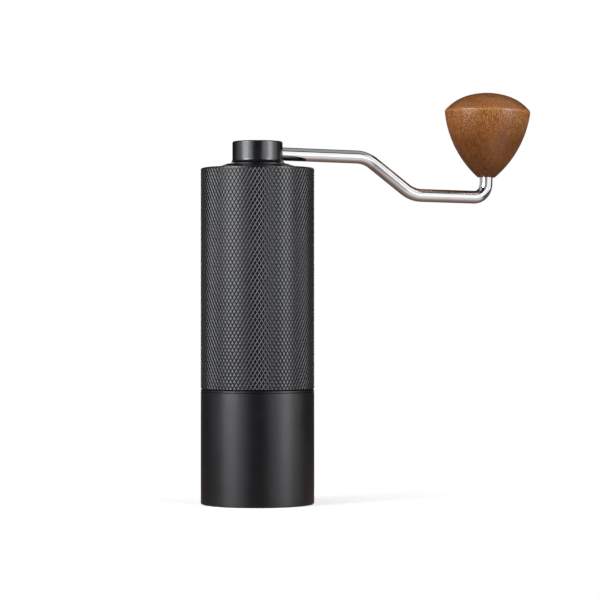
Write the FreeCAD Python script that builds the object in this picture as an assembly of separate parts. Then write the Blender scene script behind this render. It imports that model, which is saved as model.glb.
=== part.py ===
"""Hand crank coffee grinder: a knurled body on a screw-on catch cup, a lift-off lid with its crank, and the
burr set, shaft and bearings inside.

Millimetres. +Z is up, the origin is the centre of the cup's base, and the crank arm points along +X.
Each function makes one piece at its place in the assembly, and build_all writes one STEP file per piece.
"""

import FreeCAD
import Part

import math
import os

from FreeCAD import Vector

# Body and cup
BODY_DIAMETER = 52.0
BODY_LENGTH = 101.25
CUP_HEIGHT = 52.5
RIM_ROUND = 0.8
SEAM_CHAMFER = 0.5
BASE_CHAMFER = 0.4
CUP_WALL = 2.0
CUP_FLOOR = 2.5
CUP_FLOOR_FILLET = 2.0
CUP_BEAD_HEIGHT = 1.1
CUP_BEAD_GROOVE = 0.2
CUP_LIP_CHAMFER = 0.25
HOPPER_WALL = 2.8
SOCKET_WALL = 2.25
LAND_STEP = 0.6

# Clearances
FIT = 0.05
RUNNING = 0.06
SLIDE_OFF = 0.2

# Burr carrier, with the cup's screw collar under it
COLLAR_LENGTH = 7.8
COLLAR_STEP = 0.45
CARRIER_HEIGHT = 24.2
CARRIER_WALL = 1.35
CARRIER_LIP = 1.2
CARRIER_THROAT_HEIGHT = 6.0
THREAD_PITCH = 1.5
THREAD_DEPTH = 0.4
THREAD_TURNS = 4

# Burrs
BURR_BELOW_SEAM = 1.8
RING_BURR_HEIGHT = 12.0
RING_BURR_WALL = 5.0
INNER_BURR_HEIGHT = 18.0
INNER_BURR_TOP_DIAMETER = 13.0
FINE_ZONE_HEIGHT = 5.0
FINE_ZONE_ANGLE = 25.0
BURR_GAP = 0.85
FINE_TEETH = 36
FINE_TOOTH_DEPTH = 0.9
FINE_TWIST = 9.0
COARSE_FLUTES = 6
COARSE_TWIST = 70.0
COARSE_DEPTH = 2.4
RING_FLUTES = 12
RING_FLUTE_DEPTH = 1.0
RING_MOUTH_FLARE = 0.7
BURR_SCREWS = 3
SCREW_DIAMETER = 2.5
SCREW_HEAD_DIAMETER = 4.2
SCREW_HEAD_HEIGHT = 1.6
SCREW_LENGTH = 15.5
SCREW_SOCKET_DEPTH = 0.9
SCREW_SOCKET_DIAMETER = 1.7

# Shaft
SHAFT_DIAMETER = 8.0
SHAFT_FLAT = 0.8
SHAFT_THREAD_DIAMETER = 6.0
SHAFT_THREAD_PITCH = 1.0
SHAFT_TIP_BELOW_DIAL = 1.5
DRIVE_SIDES = 5
DRIVE_LENGTH = 11.0
CLIP_THICKNESS = 0.8
CLIP_GROOVE_DEPTH = 0.5
CLIP_WIDTH = 1.6
CLIP_OPENING = 60.0

# Bearings
BEARING_DIAMETER = 16.0
BEARING_WIDTH = 5.0
BALL_DIAMETER = 2.38
BALL_COUNT = 9
RACE_WALL = 1.1
CAGE_WALL = 0.9
CAGE_RIM = 0.3
SHIELD_THICKNESS = 0.2
SHIELD_INSET = 0.2

# Bearing brackets
UPPER_BRACKET_BELOW_RIM = 35.6
BRACKET_RING_HEIGHT = 8.0
BRACKET_RING_WALL = 2.4
BRACKET_HUB_WALL = 2.6
BRACKET_ARM_WIDTH = 5.0
BRACKET_ARM_HEIGHT = 6.0
BRACKET_ARM_BEVEL = 1.2
BRACKET_ARMS = 3
BEARING_LIP = 1.2
SNAP_RING_THICKNESS = 1.2
SNAP_RING_WIDTH = 2.0
SNAP_RING_GROOVE = 0.8
SNAP_RING_OPENING = 24.0

# Spring, click plate and dial
SPRING_WIRE = 1.0
SPRING_TURNS = 4.5
SPRING_GAP = 0.05
WASHER_THICKNESS = 0.8
WASHER_WIDTH = 2.0
CLICK_PLATE_DIAMETER = 18.0
CLICK_PLATE_THICKNESS = 1.4
CLICKS = 12
CLICK_DIMPLE = 0.75
TRACK_DEPTH = 0.45
TRACK_WIDTH = 2.2
TRACK_RADIUS = 6.2
DIAL_DIAMETER = 23.0
DIAL_HEIGHT = 7.5
DIAL_LOBES = 12
DIAL_LOBE_DIAMETER = 3.4
DIAL_CHAMFER = 0.6
DIAL_GAP = 0.1
FEED_TRAVEL = 1.5
FEED_ROOM = 0.3
DIAL_MARK_WIDTH = 0.6
DIAL_MARK_LENGTH = 2.2
DIAL_MARK_DEPTH = 0.3
DETENTS = 2
DETENT_BALL_DIAMETER = 1.6
DETENT_BALL_RISE = 0.35
DETENT_POCKET_DEPTH = 4.4
DETENT_SPRING_WIRE = 0.3
DETENT_SPRING_TURNS = 4.0

# Lid
LID_LEDGE_DEPTH = 2.0
LID_LEDGE_WIDTH = 0.7
LID_FLANGE = 1.3
LID_WALL = 1.6
LID_SLOPE = 16.5
LID_EDGE_DROP = 0.9
LID_SEAT_RISE = 1.2
LID_SKIRT = 6.0
LID_SKIRT_WALL = 1.8
LID_BOSS_LENGTH = 5.15
SEAL_WIRE = 1.4
SEAL_PROUD = 0.12

# Crank hub
HUB_DIAMETER = 23.1
HUB_HEIGHT = 10.75
HUB_EDGE = 0.8
HUB_FLARE_WIDTH = 2.85
HUB_FLARE_HEIGHT = 2.2
HUB_FLARE_EDGE = 0.3
HUB_GAP = 0.25
NECK_DIAMETER = 15.0
BUSH_WALL = 1.1
HUB_WASHER_THICKNESS = 0.6
HUB_WASHER_WIDTH = 2.0
NECK_TAIL = 1.0
SOCKET_CLEARANCE = 0.12
SOCKET_ROOF = 0.9
GRUB_DIAMETER = 4.0
GRUB_RECESS = 0.5
GRUB_HEX = 2.0
GRUB_HEX_DEPTH = 1.0

# Crank arm
ARM_DIAMETER = 6.1
ARM_DROOP = 0.75
POST_LEAN = 1.3
ARM_ABOVE_HUB_FOOT = 5.4
ARM_FIRST_RUN = 55.3
ARM_SLANT_RUN = 24.5
ARM_SLANT_ANGLE = 35.1
CRANK_RADIUS = 119.25
ARM_BEND_RADIUS = 15.0
ARM_CORNER_RADIUS = 6.5
ARM_TAIL = 8.0
POST_BELOW_KNOB = 9.7
POST_IN_KNOB = 28.0
POST_CLIP_BELOW_TIP = 2.5
POST_CLIP_THICKNESS = 0.9
POST_CLIP_DEPTH = 0.45

# Knob
KNOB_DIAMETER = 40.8
KNOB_FOOT_DIAMETER = 8.3
KNOB_RIM_HEIGHT = 31.05
KNOB_FLANK_BULGE = 3.25
KNOB_RIM_INSET = 0.22
KNOB_RIM_EDGE = 0.72
KNOB_RIM_BULGE = 0.08
KNOB_CROWN_DIAMETER = 20.0
KNOB_CROWN_RADIUS = 32.5
KNOB_SHOULDER_RADIUS = 22.0
KNOB_BUSH_WALL = 0.6
KNOB_BUSH_INSET = 0.4
KNOB_BORE_HEADROOM = 1.5
KNOB_CLIP_ROOM = 0.3

# Levels and radii that follow from the sizes above
SEAM_Z = CUP_HEIGHT
RIM_Z = SEAM_Z + BODY_LENGTH
BODY_R = BODY_DIAMETER / 2
HOPPER_R = BODY_R - HOPPER_WALL
SOCKET_R = BODY_R - SOCKET_WALL
LAND_R = HOPPER_R - LAND_STEP
SHAFT_R = SHAFT_DIAMETER / 2

CARRIER_R = SOCKET_R - FIT
CARRIER_TOP_Z = SEAM_Z + CARRIER_HEIGHT
COLLAR_R = CARRIER_R - COLLAR_STEP
RING_BURR_R = CARRIER_R - CARRIER_WALL
BURR_BASE_Z = SEAM_Z - BURR_BELOW_SEAM
BURR_SEAT_Z = BURR_BASE_Z + RING_BURR_HEIGHT
FINE_TOP_Z = BURR_BASE_Z + FINE_ZONE_HEIGHT
INNER_BURR_TOP_Z = BURR_BASE_Z + INNER_BURR_HEIGHT
FINE_TAPER = FINE_ZONE_HEIGHT * math.tan(math.radians(FINE_ZONE_ANGLE))
RING_TOOTH_R = RING_BURR_R - RING_BURR_WALL
RING_WAIST_R = RING_TOOTH_R - FINE_TAPER
INNER_TOOTH_R = RING_TOOTH_R - BURR_GAP
INNER_WAIST_R = INNER_TOOTH_R - FINE_TAPER
INNER_TOP_R = INNER_BURR_TOP_DIAMETER / 2
SCREW_CIRCLE_R = RING_BURR_R - RING_BURR_WALL / 2

LOWER_BRACKET_Z = CARRIER_TOP_Z
LAND_Z = LOWER_BRACKET_Z + BRACKET_RING_HEIGHT
UPPER_BRACKET_Z = RIM_Z - UPPER_BRACKET_BELOW_RIM
LOWER_BEARING_Z = LOWER_BRACKET_Z
UPPER_BEARING_Z = UPPER_BRACKET_Z + BRACKET_RING_HEIGHT - BEARING_WIDTH
BEARING_R = BEARING_DIAMETER / 2
BALL_R = BALL_DIAMETER / 2
BALL_CIRCLE_R = (SHAFT_R + BEARING_R) / 2

SPRING_TOP_Z = LOWER_BEARING_Z - WASHER_THICKNESS
CLICK_PLATE_Z = BURR_BASE_Z - CLICK_PLATE_THICKNESS
DIAL_TOP_Z = CLICK_PLATE_Z - DIAL_GAP
DIAL_BASE_Z = DIAL_TOP_Z - DIAL_HEIGHT
SHAFT_TIP_Z = DIAL_BASE_Z - SHAFT_TIP_BELOW_DIAL
KEY_FOOT_Z = CLICK_PLATE_Z - FEED_TRAVEL

LID_SEAT_Z = RIM_Z - LID_LEDGE_DEPTH
LID_R = HOPPER_R + LID_LEDGE_WIDTH - SLIDE_OFF / 2
LID_EDGE_Z = RIM_Z - LID_EDGE_DROP
HUB_R = HUB_DIAMETER / 2
HUB_FOOT_R = HUB_R + HUB_FLARE_WIDTH
HUB_SEAT_Z = RIM_Z + LID_SEAT_RISE
LID_BOSS_Z = HUB_SEAT_Z - LID_BOSS_LENGTH
NECK_R = NECK_DIAMETER / 2
BUSH_R = NECK_R + RUNNING + BUSH_WALL
HUB_Z = HUB_SEAT_Z + HUB_GAP
HUB_TOP_Z = HUB_Z + HUB_HEIGHT
HUB_CLIP_Z = LID_BOSS_Z - HUB_WASHER_THICKNESS - CLIP_THICKNESS
NECK_Z = HUB_CLIP_Z - NECK_TAIL

ARM_R = ARM_DIAMETER / 2
ARM_Z = HUB_Z + ARM_ABOVE_HUB_FOOT
SOCKET_TOP_Z = ARM_Z - ARM_R - SOCKET_ROOF
DRIVE_TOP_Z = SOCKET_TOP_Z - SOCKET_CLEARANCE
DRIVE_Z = DRIVE_TOP_Z - DRIVE_LENGTH
KNOB_R = KNOB_DIAMETER / 2
KNOB_BUSH_BORE_R = ARM_R + RUNNING
KNOB_BUSH_R = KNOB_BUSH_BORE_R + KNOB_BUSH_WALL
KNOB_BUSH_TOP = POST_IN_KNOB + KNOB_BORE_HEADROOM

UP = Vector(0, 0, 1)
CENTRE = Vector(0, 0, 0)


def turned(profile):
    """Solid of revolution about Z from a closed outline.

    Each entry is the outline's next corner as (radius, height), or an arc to it as (radius, height, radius,
    height), where the first pair is a point on the way.
    """
    edges = []
    here = profile[-1][-2:]
    for entry in profile:
        there = entry[-2:]
        begin = Vector(here[0], 0, here[1])
        end = Vector(there[0], 0, there[1])
        if len(entry) == 4:
            edges.append(Part.Arc(begin, Vector(entry[0], 0, entry[1]), end).toShape())
        else:
            edges.append(Part.LineSegment(begin, end).toShape())
        here = there
    return Part.Face(Part.Wire(edges)).revolve(CENTRE, UP, 360)


def rounded(start, corner, end):
    """Outline entry for a quarter round that takes the place of a square corner."""
    middle = [b + (a + c - 2 * b) * (1 - math.sqrt(0.5)) for a, b, c in zip(start, corner, end)]
    return (*middle, *end)


def on_circle(centre_r, centre_z, radius, angle):
    """Outline point on a circle, at an angle from straight up."""
    return (centre_r + radius * math.sin(angle), centre_z + radius * math.cos(angle))


def disc(radius, low, high):
    """Cylinder about Z between two heights."""
    return Part.makeCylinder(radius, high - low, Vector(0, 0, low))


def ring(inner, outer, low, high):
    """Tube about Z between two heights."""
    return disc(outer, low, high).cut(disc(inner, low, high))


def around(shape, count, first=0.0):
    """Copies of a shape spaced evenly about Z."""
    copies = []
    for index in range(count):
        copy = shape.copy()
        copy.rotate(CENTRE, UP, first + 360.0 * index / count)
        copies.append(copy)
    return copies


def polygon_prism(radius, sides, low, high):
    """Upright prism with its corners on a circle."""
    corners = [
        Vector(radius * math.cos(2 * math.pi * i / sides), radius * math.sin(2 * math.pi * i / sides), low)
        for i in range(sides)
    ]
    return Part.Face(Part.makePolygon(corners + corners[:1])).extrude(Vector(0, 0, high - low))


def sector(radius, degrees, low, high):
    """Wedge of a cylinder centred on +X, used to open split rings."""
    wedge = Part.makeCylinder(radius, high - low, Vector(0, 0, low), UP, degrees)
    wedge.rotate(CENTRE, UP, -degrees / 2)
    return wedge


def split_ring(inner, outer, low, high, opening):
    """Ring with a gap towards +X, as a clip or snap ring has."""
    return ring(inner, outer, low, high).cut(sector(2 * outer, opening, low, high))


def coil(radius, wire, turns, low, high):
    """Helical spring about Z whose wire just fits between two heights."""
    rise = high - low - wire
    path = Part.makeHelix(rise / turns, rise, radius)
    start = Part.Wire(Part.makeCircle(wire / 2, Vector(radius, 0, 0), Vector(0, 1, 0)))
    spring = Part.Wire(path.Edges).makePipeShell([start], True, True)
    spring.translate(Vector(0, 0, low + wire / 2))
    return spring


def toothed_outline(points_of_tooth, count, turn, height):
    """Closed wire of repeated teeth, each given as (share of the pitch, radius) points."""
    corners = []
    for tooth in range(count):
        for share, radius in points_of_tooth:
            angle = math.radians(turn) + 2 * math.pi * (tooth + share) / count
            corners.append(Vector(radius * math.cos(angle), radius * math.sin(angle), height))
    return Part.makePolygon(corners + corners[:1])


def saw_tooth(crest, root):
    """Tooth with one steep and one easy flank."""
    return [(0.0, crest), (0.18, crest), (0.38, root)]


def flute(crest, root):
    """Wide feeding flute with a narrow land between flutes."""
    return [(0.0, crest), (0.16, crest), (0.34, root), (0.72, (crest + 2 * root) / 3)]


def thread_grooves(radius, start, pitch, count, depth, inward):
    """Rings of V section that show a thread on a shaft (cut inward) or in a bore (cut outward)."""
    bottom = radius - depth if inward else radius + depth
    mouth = radius + depth if inward else radius - depth
    grooves = []
    for index in range(count):
        middle = start + pitch * (index + 0.5)
        half = pitch * 0.8
        grooves.append(turned([(mouth, middle - half), (bottom, middle), (mouth, middle + half)]))
    return grooves


def catch_cup():
    """Smooth cup that screws on under the body and catches the grounds."""
    inner = BODY_R - CUP_WALL
    thread_bore = COLLAR_R + SLIDE_OFF
    thread_low = SEAM_Z - COLLAR_LENGTH - THREAD_PITCH
    bead_low = SEAM_Z - CUP_BEAD_HEIGHT
    floor_corner = (
        (inner, CUP_FLOOR + CUP_FLOOR_FILLET),
        (inner, CUP_FLOOR),
        (inner - CUP_FLOOR_FILLET, CUP_FLOOR),
    )
    cup = turned([
        (0, 0),
        (BODY_R - BASE_CHAMFER, 0),
        (BODY_R, BASE_CHAMFER),
        (BODY_R, bead_low - CUP_BEAD_GROOVE),
        (BODY_R - CUP_BEAD_GROOVE, bead_low),
        (BODY_R, bead_low + CUP_BEAD_GROOVE),
        (BODY_R, SEAM_Z - CUP_LIP_CHAMFER),
        (BODY_R - CUP_LIP_CHAMFER, SEAM_Z),
        (thread_bore, SEAM_Z),
        (thread_bore, thread_low),
        (inner, thread_low - THREAD_PITCH),
        floor_corner[0],
        rounded(*floor_corner),
        (0, CUP_FLOOR),
    ])
    depth = min(THREAD_DEPTH, (BODY_R - thread_bore) / 3)
    grooves = thread_grooves(thread_bore, thread_low, THREAD_PITCH, THREAD_TURNS, depth, False)
    return cup.cut(grooves)


def outer_body():
    """Knurled tube: hopper bore above, bracket land in the middle, carrier socket below."""
    ledge_r = HOPPER_R + LID_LEDGE_WIDTH
    rim_corner = ((BODY_R, RIM_Z - RIM_ROUND), (BODY_R, RIM_Z), (BODY_R - RIM_ROUND, RIM_Z))
    body = turned([
        (SOCKET_R, SEAM_Z),
        (BODY_R - SEAM_CHAMFER, SEAM_Z),
        (BODY_R, SEAM_Z + SEAM_CHAMFER),
        rim_corner[0],
        rounded(*rim_corner),
        (ledge_r, RIM_Z),
        (ledge_r, LID_SEAT_Z),
        (HOPPER_R, LID_SEAT_Z),
        (HOPPER_R, UPPER_BRACKET_Z),
        (LAND_R, UPPER_BRACKET_Z),
        (LAND_R, LAND_Z),
        (SOCKET_R, LAND_Z),
    ])
    groove_z = UPPER_BRACKET_Z + BRACKET_RING_HEIGHT
    groove = disc(HOPPER_R + SNAP_RING_GROOVE, groove_z, groove_z + SNAP_RING_THICKNESS)
    return body.cut(groove)


def bearing_bracket(base, bearing_low, outer, lip_low, lip_high):
    """Three-armed bracket with a ring that fits the tube and a hub that seats a bearing against a lip."""
    top = base + BRACKET_RING_HEIGHT
    hub_r = BEARING_R + FIT + BRACKET_HUB_WALL
    inner = outer - BRACKET_RING_WALL
    pieces = [ring(inner, outer, base, top), disc(hub_r, base, top)]
    middle = base + BRACKET_RING_HEIGHT / 2
    half_w = BRACKET_ARM_WIDTH / 2
    half_h = BRACKET_ARM_HEIGHT / 2
    ridge = half_h - BRACKET_ARM_BEVEL
    section = [
        Vector(0, -half_w, middle - half_h),
        Vector(0, half_w, middle - half_h),
        Vector(0, half_w, middle + ridge),
        Vector(0, half_w - BRACKET_ARM_BEVEL, middle + half_h),
        Vector(0, BRACKET_ARM_BEVEL - half_w, middle + half_h),
        Vector(0, -half_w, middle + ridge),
    ]
    start = (hub_r + BEARING_R) / 2
    reach = Vector((inner + outer) / 2 - start, 0, 0)
    arm = Part.Face(Part.makePolygon(section + section[:1])).extrude(reach)
    arm.translate(Vector(start, 0, 0))
    pieces.extend(around(arm, BRACKET_ARMS, 180.0 / BRACKET_ARMS))
    bracket = pieces[0].fuse(pieces[1:]).removeSplitter()
    seat = disc(BEARING_R + FIT, bearing_low, bearing_low + BEARING_WIDTH)
    mouth = disc(BEARING_R - BEARING_LIP, lip_low, lip_high)
    return bracket.cut([seat, mouth])


def upper_bracket():
    """Bracket in the hopper: its bearing drops in from above onto a lip."""
    return bearing_bracket(
        UPPER_BRACKET_Z, UPPER_BEARING_Z, HOPPER_R - FIT, UPPER_BRACKET_Z, UPPER_BEARING_Z
    )


def lower_bracket():
    """Bracket over the burrs: its bearing is pushed up from below against a lip."""
    top = LOWER_BRACKET_Z + BRACKET_RING_HEIGHT
    return bearing_bracket(
        LOWER_BRACKET_Z, LOWER_BEARING_Z, CARRIER_R, LOWER_BEARING_Z + BEARING_WIDTH, top
    )


def bracket_snap_ring():
    """Ring sprung into the tube's groove above the upper bracket."""
    low = UPPER_BRACKET_Z + BRACKET_RING_HEIGHT
    outer = HOPPER_R + SNAP_RING_GROOVE - FIT
    return split_ring(outer - SNAP_RING_WIDTH, outer, low, low + SNAP_RING_THICKNESS, SNAP_RING_OPENING)


def burr_screw_places():
    """Centres of the ring burr's screws."""
    return [
        Vector(SCREW_CIRCLE_R * math.cos(a), SCREW_CIRCLE_R * math.sin(a), 0)
        for a in (2 * math.pi * i / BURR_SCREWS for i in range(BURR_SCREWS))
    ]


def screw_hole(place, low, high, diameter):
    """Upright hole at a screw's place."""
    return Part.makeCylinder(diameter / 2, high - low, Vector(place.x, place.y, low))


def burr_carrier():
    """Ring in the tube's foot that holds the ring burr and carries the cup's screw collar."""
    bore = RING_BURR_R + FIT
    throat = RING_TOOTH_R - FINE_TAPER + RING_MOUTH_FLARE + RING_FLUTE_DEPTH
    throat_z = BURR_SEAT_Z + CARRIER_THROAT_HEIGHT
    collar_z = SEAM_Z - COLLAR_LENGTH
    carrier = turned([
        (bore, collar_z),
        (COLLAR_R - THREAD_DEPTH, collar_z),
        (COLLAR_R, collar_z + THREAD_DEPTH),
        (COLLAR_R, SEAM_Z),
        (CARRIER_R, SEAM_Z),
        (CARRIER_R, CARRIER_TOP_Z),
        (CARRIER_R - CARRIER_LIP, CARRIER_TOP_Z),
        (throat, throat_z),
        (throat, BURR_SEAT_Z),
        (bore, BURR_SEAT_Z),
    ])
    depth = min(THREAD_DEPTH, (COLLAR_R - bore) / 2)
    grooves = thread_grooves(COLLAR_R, collar_z + THREAD_DEPTH, THREAD_PITCH, THREAD_TURNS, depth, True)
    tip = BURR_BASE_Z + SCREW_HEAD_HEIGHT + SCREW_LENGTH
    holes = [screw_hole(p, BURR_SEAT_Z, tip + FIT, SCREW_DIAMETER + 2 * FIT) for p in burr_screw_places()]
    return carrier.cut(grooves + holes)


def outer_burr():
    """Ring burr: fine teeth below, feeding flutes above, held by screws from below."""
    blank = disc(RING_BURR_R, BURR_BASE_Z, BURR_SEAT_Z)
    over = FINE_TOOTH_DEPTH / FINE_ZONE_HEIGHT
    fine = Part.makeLoft([
        toothed_outline(saw_tooth(r + FINE_TOOTH_DEPTH, r), FINE_TEETH, turn, z)
        for r, turn, z in (
            (RING_TOOTH_R + over * FINE_TAPER, over * FINE_TWIST, BURR_BASE_Z - over * FINE_ZONE_HEIGHT),
            (RING_WAIST_R, -FINE_TWIST, FINE_TOP_Z),
        )
    ], True, True)
    mouth_r = RING_WAIST_R + RING_MOUTH_FLARE
    coarse = Part.makeLoft([
        toothed_outline(saw_tooth(r + RING_FLUTE_DEPTH, r), RING_FLUTES, turn, z)
        for r, turn, z in (
            (RING_WAIST_R, 0.0, FINE_TOP_Z),
            (mouth_r, -COARSE_TWIST / 4, BURR_SEAT_Z),
        )
    ], True, True)
    holes = []
    for place in burr_screw_places():
        holes.append(screw_hole(place, BURR_BASE_Z, BURR_SEAT_Z, SCREW_DIAMETER + 2 * FIT))
        head_top = BURR_BASE_Z + SCREW_HEAD_HEIGHT
        holes.append(screw_hole(place, BURR_BASE_Z, head_top, SCREW_HEAD_DIAMETER + 2 * FIT))
    return blank.cut([fine, coarse] + holes)


def outer_burr_screws():
    """Socket screws that hold the ring burr in its carrier."""
    screws = []
    head_top = BURR_BASE_Z + SCREW_HEAD_HEIGHT
    for place in burr_screw_places():
        head = screw_hole(place, BURR_BASE_Z, head_top, SCREW_HEAD_DIAMETER)
        shank = screw_hole(place, head_top, head_top + SCREW_LENGTH, SCREW_DIAMETER)
        socket = polygon_prism(SCREW_SOCKET_DIAMETER / 2, 6, BURR_BASE_Z, BURR_BASE_Z + SCREW_SOCKET_DEPTH)
        socket.translate(place)
        screws.append(head.fuse(shank).cut(socket))
    return Part.makeCompound(screws)


def bearing_outer_race(low):
    """Outer race with its ball groove."""
    race = ring(BEARING_R - RACE_WALL, BEARING_R, low, low + BEARING_WIDTH)
    return race.cut(ball_groove(low))


def bearing_inner_race(low):
    """Inner race with its ball groove, on the shaft."""
    race = ring(SHAFT_R + FIT / 2, SHAFT_R + RACE_WALL, low, low + BEARING_WIDTH)
    return race.cut(ball_groove(low))


def ball_groove(low):
    """Torus that the balls run in."""
    return Part.makeTorus(BALL_CIRCLE_R, BALL_R + RUNNING, Vector(0, 0, low + BEARING_WIDTH / 2))


def bearing_balls(low):
    """Ring of balls."""
    ball = Part.makeSphere(BALL_R, Vector(BALL_CIRCLE_R, 0, low + BEARING_WIDTH / 2))
    return Part.makeCompound(around(ball, BALL_COUNT))


def bearing_cage(low):
    """Cage that keeps the balls apart."""
    middle = low + BEARING_WIDTH / 2
    half = BALL_R + RUNNING + CAGE_RIM
    cage = ring(BALL_CIRCLE_R - CAGE_WALL / 2, BALL_CIRCLE_R + CAGE_WALL / 2, middle - half, middle + half)
    inside = Vector(BALL_CIRCLE_R - CAGE_WALL, 0, middle)
    pocket = Part.makeCylinder(BALL_R + RUNNING, 2 * CAGE_WALL, inside, Vector(1, 0, 0))
    return cage.cut(around(pocket, BALL_COUNT))


def bearing_shields(low):
    """Thin plates over both sides of the balls, pressed into the outer race."""
    inner = SHAFT_R + RACE_WALL + 2 * RUNNING
    outer = BEARING_R - RACE_WALL - FIT / 2
    bottom = low + SHIELD_INSET
    top = low + BEARING_WIDTH - SHIELD_INSET
    return Part.makeCompound([
        ring(inner, outer, bottom, bottom + SHIELD_THICKNESS),
        ring(inner, outer, top - SHIELD_THICKNESS, top),
    ])


def shaft_flats(radius, half_width, low, high):
    """Round bar with two flats, the section that keys the burr to the shaft."""
    bar = disc(radius, low, high)
    keep = Part.makeBox(4 * radius, 2 * half_width, high - low, Vector(-2 * radius, -half_width, low))
    return bar.common(keep)


def shaft_clip_levels():
    """Lower faces of the two clips that hold the shaft in the upper bearing."""
    return (UPPER_BEARING_Z - CLIP_THICKNESS, UPPER_BEARING_Z + BEARING_WIDTH)


def drive_shaft():
    """Shaft: five-sided drive end, round through both bearings, two flats for the burr, threaded foot."""
    flat_top = SPRING_TOP_Z
    thread_r = SHAFT_THREAD_DIAMETER / 2
    foot = disc(thread_r, SHAFT_TIP_Z, KEY_FOOT_Z)
    turns = int((KEY_FOOT_Z - SHAFT_TIP_Z) / SHAFT_THREAD_PITCH)
    depth = SHAFT_THREAD_PITCH / 3
    foot = foot.cut(thread_grooves(thread_r, SHAFT_TIP_Z, SHAFT_THREAD_PITCH, turns, depth, True))
    keyed = shaft_flats(SHAFT_R, SHAFT_R - SHAFT_FLAT, KEY_FOOT_Z, flat_top)
    barrel = disc(SHAFT_R, flat_top, DRIVE_Z)
    drive = polygon_prism(SHAFT_R, DRIVE_SIDES, DRIVE_Z, DRIVE_TOP_Z)
    shaft = foot.fuse([keyed, barrel, drive]).removeSplitter()
    grooves = [
        ring(SHAFT_R - CLIP_GROOVE_DEPTH, 2 * SHAFT_R, low, low + CLIP_THICKNESS)
        for low in shaft_clip_levels()
    ]
    return shaft.cut(grooves)


def shaft_clips():
    """Clips above and below the upper bearing."""
    inner = SHAFT_R - CLIP_GROOVE_DEPTH + FIT
    return Part.makeCompound([
        split_ring(inner, inner + CLIP_WIDTH, low, low + CLIP_THICKNESS, CLIP_OPENING)
        for low in shaft_clip_levels()
    ])


def spring_washer():
    """Washer between the burr spring and the lower bearing."""
    inner = SHAFT_R + FIT
    return ring(inner, inner + WASHER_WIDTH, SPRING_TOP_Z, LOWER_BEARING_Z)


def burr_spring():
    """Spring that presses the inner burr down onto the dial."""
    radius = SHAFT_R + 2 * FIT + SPRING_WIRE / 2
    return coil(radius, SPRING_WIRE, SPRING_TURNS, INNER_BURR_TOP_Z + SPRING_GAP, SPRING_TOP_Z - SPRING_GAP)


def inner_burr():
    """Conical burr: feeding flutes above, fine teeth below, keyed to the shaft."""
    fine = Part.makeLoft([
        toothed_outline(saw_tooth(r, r - FINE_TOOTH_DEPTH), FINE_TEETH, turn, z)
        for r, turn, z in (
            (INNER_TOOTH_R, 0.0, BURR_BASE_Z),
            (INNER_WAIST_R, FINE_TWIST, FINE_TOP_Z),
        )
    ], True, True)
    bore_wall = SHAFT_R + RUNNING + FINE_TOOTH_DEPTH
    foot_r = INNER_WAIST_R - FINE_TOOTH_DEPTH / 2
    sections = []
    steps = 4
    for step in range(steps + 1):
        share = step / steps
        height = FINE_TOP_Z + share * (INNER_BURR_TOP_Z - FINE_TOP_Z)
        crest = foot_r + share * (INNER_TOP_R - foot_r)
        depth = COARSE_DEPTH * (0.5 + math.sin(math.pi * share) / 2)
        root = max(crest - depth, bore_wall)
        sections.append(toothed_outline(flute(crest, root), COARSE_FLUTES, COARSE_TWIST * share, height))
    coarse = Part.makeLoft(sections, True, True)
    burr = fine.fuse(coarse)
    bore = shaft_flats(
        SHAFT_R + RUNNING, SHAFT_R - SHAFT_FLAT + RUNNING, BURR_BASE_Z, INNER_BURR_TOP_Z
    )
    return burr.cut(bore)


def click_plate():
    """Plate keyed to the shaft under the burr, with a ring of dimples that the dial clicks over."""
    plate = disc(CLICK_PLATE_DIAMETER / 2, CLICK_PLATE_Z, BURR_BASE_Z)
    bore = shaft_flats(SHAFT_R + RUNNING, SHAFT_R - SHAFT_FLAT + RUNNING, CLICK_PLATE_Z, BURR_BASE_Z)
    half = TRACK_WIDTH / 2
    track = ring(TRACK_RADIUS - half, TRACK_RADIUS + half, CLICK_PLATE_Z, CLICK_PLATE_Z + TRACK_DEPTH)
    dimple = Part.makeSphere(CLICK_DIMPLE, Vector(TRACK_RADIUS, 0, CLICK_PLATE_Z + TRACK_DEPTH))
    return plate.cut([bore, track] + around(dimple, CLICKS))


def detent_places():
    """Centres of the dial's detent pockets."""
    return [
        Vector(TRACK_RADIUS * math.cos(a), TRACK_RADIUS * math.sin(a), 0)
        for a in (2 * math.pi * i / DETENTS for i in range(DETENTS))
    ]


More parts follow.
